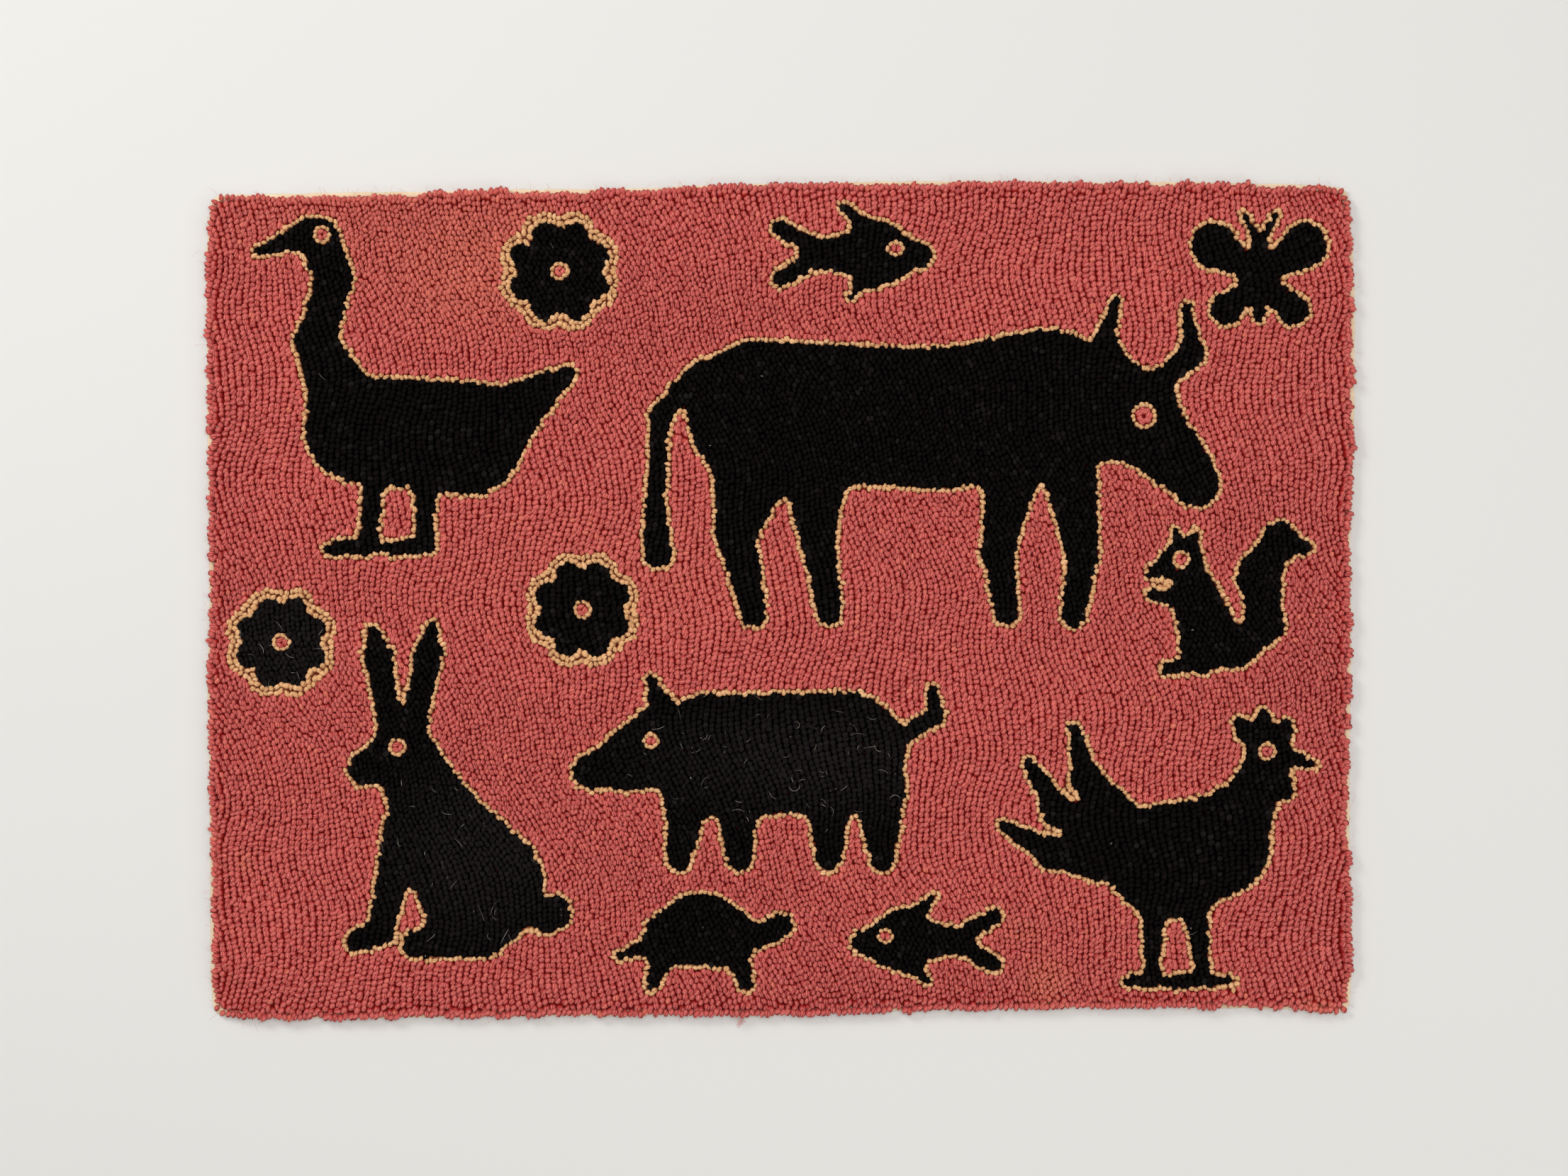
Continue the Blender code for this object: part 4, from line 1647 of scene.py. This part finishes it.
def wool(dye):
    """The material of the coral, gold or black yarn: plied wool whose loops differ a little, with a
    painted highlight on their tops and painted shade in their grooves and towards their feet.
    """
    made = bpy.data.materials.get(f"{dye} wool")
    if made:
        return made
    kind = WOOLS[dye]
    colours = bpy.context.scene.rug_colours
    top, low, highlight_colour = (
        colour_of(getattr(colours, name)) for name in (dye, dye + "_shade", kind.ridge)
    )
    material, tree, shader = new_material(f"{dye} wool")
    place = node(tree, "ShaderNodeTexCoord").outputs["Object"]
    tone = read_attribute(tree, "tone")
    painted_light = read_attribute(tree, "painted_light")
    yarn = node(tree, "ShaderNodeUVMap", {"uv_map": YARN_MAP}).outputs["UV"]
    # Every loop shows another stretch of the yarn.
    moved = node(tree, "ShaderNodeCombineXYZ", i1=math_node(tree, "MULTIPLY", tone, 7.3)).outputs[0]
    ply = use_group(tree, ply_group(), Yarn=vector_node(tree, "ADD", yarn, moved), Fuzz=kind.fuzz)
    patch = use_group(tree, patch_group(), Place=place, Patch_Size=70 * MM)["Patch"]
    colour = kind.wear(tree, top, place, tone, patch)
    # Painted highlight: the loops' tops, and their plies' ridges most of all, are mixed towards a paler
    # colour.
    top_highlight = map_range(tree, painted_light, 0.86, 1.0, 0.0, 0.5)
    ridge = math_node(tree, "MULTIPLY", top_highlight, map_range(tree, ply["Groove"], 0.7, 0.0, 0.5, 1.25))
    colour = mix_colour(tree, ridge, colour, highlight_colour)
    # Painted shade in the grooves between the plies.
    groove = map_range(tree, ply["Groove"], 0.5, 1.0, 0.0, 0.32)
    colour = mix_colour(tree, groove, colour, low)
    fibre = map_range(tree, ply["Fibre"], 0.34, 0.66, *kind.flecks)
    fibre = math_node(tree, "MULTIPLY", fibre, map_range(tree, tone, -2.2, 2.2, 0.92, 1.08))
    bright = node(tree, "ShaderNodeCombineXYZ", i0=fibre, i1=fibre, i2=fibre).outputs[0]
    colour = mix_colour(tree, 1.0, colour, bright, "MULTIPLY")
    # Painted shade towards the loops' feet, where they stand close together.
    deep = map_range(tree, painted_light, 0.52, 0.94, 1.0, 0.0)
    bump = node(tree, "ShaderNodeBump", Height=ply["Height"], Strength=1.0, Distance=0.5 * MM)
    coat(
        tree,
        shader,
        Base_Color=mix_colour(tree, deep, colour, low),
        Normal=bump.outputs["Normal"],
        Roughness=map_range(tree, ply["Fibre"], 0.2, 0.8, kind.rough - 0.06, kind.rough),
        Specular_IOR_Level=kind.specular,
        Sheen_Weight=kind.sheen,
        Sheen_Roughness=0.6,
        Sheen_Tint=colour_of(kind.sheen_tint),
    )
    return material


def cotton_cloth():
    """Cream plain-woven cotton with raised threads and some soiling, with painted shade between its
    threads and painted shade where the pile covers it.
    """
    made = bpy.data.materials.get("cotton cloth")
    if made:
        return made
    colours = bpy.context.scene.rug_colours
    material, tree, shader = new_material("cotton cloth")
    place = node(tree, "ShaderNodeTexCoord").outputs["Object"]
    split = node(tree, "ShaderNodeSeparateXYZ", Vector=place).outputs
    pitch = bpy.context.scene.rug_sizes.thread_pitch
    threads = []
    for axis in ("X", "Y"):
        run = math_node(tree, "ADD", split[axis], split["Z"])
        run = math_node(tree, "MULTIPLY", run, math.pi / pitch)
        threads.append(math_node(tree, "SINE", run))
    over = math_node(tree, "MULTIPLY", threads[0], threads[1])
    warp, weft = (math_node(tree, "ABSOLUTE", thread) for thread in threads)
    high = math_node(tree, "GREATER_THAN", over, 0.0)
    weave = node(tree, "ShaderNodeMix", {"data_type": "FLOAT"}, i0=high, i2=warp, i3=weft).outputs[0]
    fibre = node(tree, "ShaderNodeTexNoise", Vector=place, Scale=2600.0, Detail=2.0)
    height = math_node(tree, "ADD", weave, math_node(tree, "MULTIPLY", fibre.outputs["Fac"], 0.4))
    bump = node(tree, "ShaderNodeBump", Height=height, Strength=0.5, Distance=0.15 * MM)
    patch = use_group(tree, patch_group(), Place=place, Patch_Size=24 * MM)["Patch"]
    soiled = map_range(tree, patch, 0.2, 1.0, 0.0, 0.5)
    colour = mix_colour(tree, soiled, colour_of(colours.cloth), colour_of(colours.cloth_soiled))
    # Painted shade between the threads.
    between = map_range(tree, weave, 0.0, 0.5, 0.45, 0.0)
    colour = mix_colour(tree, between, colour, colour_of(colours.cloth_shade))
    # Painted shade under the pile, in the ground's shade colour.
    painted_pile_shade = read_attribute(tree, "painted_pile_shade")
    coat(
        tree,
        shader,
        Base_Color=mix_colour(tree, painted_pile_shade, colour, colour_of(colours.coral_shade)),
        Normal=bump.outputs["Normal"],
        Roughness=map_range(tree, patch, 0.0, 1.0, 0.84, 0.94),
        Specular_IOR_Level=0.2,
        Sheen_Weight=0.15,
    )
    return material


def lint_fibre():
    """Pale undyed fibre of the lint."""
    colours = bpy.context.scene.rug_colours
    material, tree, shader = new_material("pale lint")
    place = node(tree, "ShaderNodeTexCoord").outputs["Object"]
    patch = use_group(tree, patch_group(), Place=place, Patch_Size=12 * MM)["Patch"]
    colour = mix_colour(tree, patch, colour_of(colours.lint), colour_of(colours.lint_dark))
    coat(tree, shader, Base_Color=colour, Roughness=0.9, Specular_IOR_Level=0.2)
    return material


def floor_material():
    """Plain pale paint for the floor."""
    material, tree, shader = new_material("pale floor")
    coat(tree, shader, Base_Color=(0.62, 0.61, 0.59, 1.0), Roughness=0.85, Specular_IOR_Level=0.1)
    return material


# Properties, operators and panel


def length_property(name, description, millimetres):
    """A length that a user can change."""
    return FloatProperty(
        name=name, description=description, default=millimetres * MM, unit="LENGTH", precision=5
    )


class RugSizes(bpy.types.PropertyGroup):
    """Sizes of the rug's loops and cloth."""

    loop_spacing: length_property("Loop Spacing", "From a loop to the next in its column", 4.05)
    column_spacing: length_property("Column Spacing", "From a column of loops to the next", 4.55)
    loop_length: length_property("Loop Length", "Size of a loop along its column, from above", 5.58)
    loop_width: length_property("Loop Width", "Size of a loop across its column, from above", 4.97)
    loop_height: length_property("Loop Height", "Height of the loops over the cloth", 6.7)
    outline_width: length_property("Outline Width", "Between two gold rows round a figure", 4.3)
    outline_spacing: length_property("Outline Spacing", "From a gold loop to the next in its row", 4.0)
    unevenness: length_property("Unevenness", "How far the yarn wanders from a regular loop", 1.7)
    lump_size: length_property("Lump Size", "Size of the lumps in the yarn", 3.0)
    cloth_thickness: length_property("Cloth Thickness", "Thickness of the foundation cloth", 0.9)
    cloth_step: length_property("Cloth Step", "How finely the cloth's edge is divided", 6)
    thread_pitch: length_property("Thread Pitch", "Between two threads of the cloth", 0.8)
    stitch_width: length_property("Stitch Width", "Width of the flat stitches on the back", 4.0)
    stitch_height: length_property("Stitch Height", "How far the stitches on the back stand out", 0.38)
    seed: IntProperty(name="Seed", description="Start of the chance in the loops", default=7)


def colour_property(name, description, default):
    """A colour that a user can change."""
    return FloatVectorProperty(
        name=name, description=description, default=default, subtype="COLOR", min=0.0, max=1.0
    )


class RugColours(bpy.types.PropertyGroup):
    """Colours of the rug's yarns and cloth."""

    coral: colour_property("Coral", "Tops of the ground's loops", (0.525, 0.078, 0.069))
    # Painted highlight on the ridges at the tops of the ground's loops.
    coral_highlight: colour_property("Coral Highlight", "Ridges of the ground's yarn", (0.82, 0.250, 0.212))
    coral_faded: colour_property("Faded Coral", "Ground where it has faded", (0.60, 0.150, 0.085))
    coral_deep: colour_property("Deep Coral", "Ground where it is deepest", (0.39, 0.050, 0.052))
    # Painted shade between the ground's loops, which is also painted on the cloth under the pile.
    coral_shade: colour_property("Coral Shade", "Ground between its loops", (0.26, 0.0048, 0.0042))
    gold: colour_property("Gold", "Outlines round the figures", (0.76, 0.40, 0.165))
    # Paler loops among the outlines, and also the painted highlight on the outlines' ridges.
    gold_pale_and_highlight: colour_property("Pale Gold", "Palest loops of the outlines", (0.90, 0.56, 0.30))
    gold_brown: colour_property("Brown Gold", "Darkest loops of the outlines", (0.56, 0.24, 0.09))
    # Painted shade between the outlines' loops.
    gold_shade: colour_property("Gold Shade", "Outlines between their loops", (0.30, 0.085, 0.035))
    black: colour_property("Black", "The figures", (0.0024, 0.0018, 0.0018))
    # Painted highlight on the ridges at the tops of the figures' loops.
    black_highlight: colour_property("Black Highlight", "Ridges of the figures' yarn", (0.0080, 0.0057, 0.0053))
    black_worn: colour_property("Worn Black", "Figures where they are worn", (0.015, 0.0128, 0.0122))
    # Painted shade between the figures' loops.
    black_shade: colour_property("Black Shade", "Figures between their loops", (0.0003, 0.0003, 0.0003))
    lint: colour_property("Lint", "Pale hairs and specks", (0.62, 0.57, 0.50))
    lint_dark: colour_property("Dark Lint", "Darkest of the pale hairs", (0.20, 0.17, 0.14))
    cloth: colour_property("Cloth", "The foundation cloth", (0.78, 0.62, 0.42))
    cloth_soiled: colour_property("Soiled Cloth", "Cloth where it is soiled", (0.60, 0.44, 0.26))
    # Painted shade between the cloth's threads.
    cloth_shade: colour_property("Cloth Shade", "Cloth between its threads", (0.36, 0.25, 0.14))


class RUG_OT_foundation_cloth(bpy.types.Operator):
    """Make the cream cotton cloth with its hem turned under"""

    bl_idname = "rug.foundation_cloth"
    bl_label = "Foundation Cloth"

    def execute(self, context):
        piece = add_object("foundation_cloth", cloth_mesh(), cotton_cloth())
        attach(piece, "root")
        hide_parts("foundation")
        return {"FINISHED"}


# How many pieces the ground's loops are shared among.
BANDS = 4


class RUG_OT_ground_loops(bpy.types.Operator):
    """Hook the coral ground, in bands across the rug, and the row at its rim"""

    bl_idname = "rug.ground_loops"
    bl_label = "Ground Loops"

    def execute(self, context):
        loops = laid_out()
        pile_piece("rim_loops", loops[loops["rim"]], wool("coral"), at_rim=True)
        loops = loops[(loops["dye"] == CORAL) & ~loops["rim"]]
        loops = loops[np.argsort(loops["place"][:, 1], kind="stable")]
        for band, part in enumerate(np.array_split(loops, BANDS)):
            pile_piece(f"ground_loops_{band + 1}", part, wool("coral"))
        return {"FINISHED"}


class RUG_OT_figure_loops(bpy.types.Operator):
    """Hook the black figures, the back ones and the front ones"""

    bl_idname = "rug.figure_loops"
    bl_label = "Figure Loops"

    def execute(self, context):
        loops = laid_out()
        loops = loops[loops["dye"] == BLACK]
        back = loops["place"][:, 1] > 0
        pile_piece("figure_loops_back", loops[back], wool("black"))
        pile_piece("figure_loops_front", loops[~back], wool("black"))
        return {"FINISHED"}


class RUG_OT_outline_loops(bpy.types.Operator):
    """Hook the gold rows round the figures and their eyes"""

    bl_idname = "rug.outline_loops"
    bl_label = "Outline Loops"

    def execute(self, context):
        loops = laid_out()
        pile_piece("outline_loops", loops[loops["dye"] == GOLD], wool("gold"))
        return {"FINISHED"}


class RUG_OT_back_stitches(bpy.types.Operator):
    """Lay the yarn's flat stitches on the rug's back"""

    bl_idname = "rug.back_stitches"
    bl_label = "Back Stitches"

    def execute(self, context):
        loops = laid_out()
        back_piece("ground_back_stitches", loops[loops["dye"] == CORAL], wool("coral"))
        back_piece("figure_back_stitches", loops[loops["dye"] == BLACK], wool("black"))
        back_piece("outline_back_stitches", loops[loops["dye"] == GOLD], wool("gold"))
        return {"FINISHED"}


class RUG_OT_stray_fibres(bpy.types.Operator):
    """Scatter the fuzz at the rim, the pale lint on the worn figures and the specks of lint"""

    bl_idname = "rug.stray_fibres"
    bl_label = "Stray Fibres"

    def execute(self, context):
        fibre_piece("rim_fuzz", rim_fuzz(), wool("coral"))
        fibre_piece("pale_lint", pale_lint(), lint_fibre())
        return {"FINISHED"}


# The floor lies just under the rug, and reaches out of sight from every side.
FLOOR_SIZE = 24.0
FLOOR_GAP = 0.05 * MM

# The camera's lens, the width of what it shows at the pile's height, and where it stands.
LENS = 85.0
SENSOR = 36.0
VIEW_WIDTH = 1.2485
EYE_X = 2.8 * MM
EYE_Y = 9.3 * MM

# The soft lights: name, place, size and power.
LIGHTS = (
    ("overhead", (0.3, 0.4, 3.6), 2.2, 70),
    ("key", (-1.9, 1.6, 1.9), 1.0, 45),
    ("fill", (2.0, -1.2, 1.8), 1.6, 16),
)
SKY_COLOUR = (1, 0.99, 0.97, 1)
SKY_STRENGTH = 0.45


def area_light(name, place, size, power):
    """A square soft light that faces the rug's middle."""
    data = bpy.data.lights.new(name, "AREA")
    data.size = size
    data.energy = power
    light = bpy.data.objects.new(name, data)
    light.location = place
    x, y, z = place
    light.rotation_euler = (math.acos(z / math.hypot(x, y, z)), 0.0, math.atan2(-y, -x) - math.pi / 2)
    bpy.context.scene.collection.objects.link(light)


class RUG_OT_stage(bpy.types.Operator):
    """Set up the pale floor, the soft studio light and the camera straight above"""

    bl_idname = "rug.stage"
    bl_label = "Stage"

    def execute(self, context):
        half = FLOOR_SIZE / 2
        corners = [(-half, -half), (half, -half), (half, half), (-half, half)]
        mesh = mesh_from("floor", [(x, y, -FLOOR_GAP) for x, y in corners], [(0, 1, 2, 3)])
        add_object("floor", mesh, floor_material())
        for light in LIGHTS:
            area_light(*light)
        world = bpy.data.worlds.new("studio")
        world.use_nodes = True
        sky = world.node_tree.nodes["Background"].inputs
        sky["Color"].default_value = SKY_COLOUR
        sky["Strength"].default_value = SKY_STRENGTH
        context.scene.world = world
        context.scene.view_settings.view_transform = "Standard"
        data = bpy.data.cameras.new("camera")
        data.lens = LENS
        data.sensor_width = SENSOR
        camera = bpy.data.objects.new("camera", data)
        camera.location = (EYE_X, EYE_Y, VIEW_WIDTH * LENS / SENSOR + CAD_BOUNDS[1][2])
        context.scene.collection.objects.link(camera)
        context.scene.camera = camera
        return {"FINISHED"}


PIECE_OPERATORS = (
    RUG_OT_foundation_cloth,
    RUG_OT_ground_loops,
    RUG_OT_figure_loops,
    RUG_OT_outline_loops,
    RUG_OT_back_stitches,
    RUG_OT_stray_fibres,
    RUG_OT_stage,
)


class RUG_PT_sidebar(bpy.types.Panel):
    """Lists the rug's sizes, colours and pieces"""

    bl_idname = "RUG_PT_sidebar"
    bl_label = "Hooked Rug"
    bl_space_type = "VIEW_3D"
    bl_region_type = "UI"
    bl_category = "Rug"

    def draw(self, context):
        for group in (context.scene.rug_sizes, context.scene.rug_colours):
            column = self.layout.column(align=True)
            for name in group.__annotations__:
                column.prop(group, name)
        for operator in PIECE_OPERATORS:
            self.layout.operator(operator.bl_idname)


CLASSES = (RugSizes, RugColours, *PIECE_OPERATORS, RUG_PT_sidebar)


def register():
    for made in CLASSES:
        bpy.utils.register_class(made)
    bpy.types.Scene.rug_sizes = PointerProperty(type=RugSizes)
    bpy.types.Scene.rug_colours = PointerProperty(type=RugColours)


def unregister():
    del bpy.types.Scene.rug_colours
    del bpy.types.Scene.rug_sizes
    for made in reversed(CLASSES):
        bpy.utils.unregister_class(made)


def main():
    """Builds every piece in order."""
    register()
    bpy.ops.rug.foundation_cloth()
    bpy.ops.rug.ground_loops()
    bpy.ops.rug.figure_loops()
    bpy.ops.rug.outline_loops()
    bpy.ops.rug.back_stitches()
    bpy.ops.rug.stray_fibres()
    bpy.ops.rug.stage()


if __name__ == "__main__":
    main()
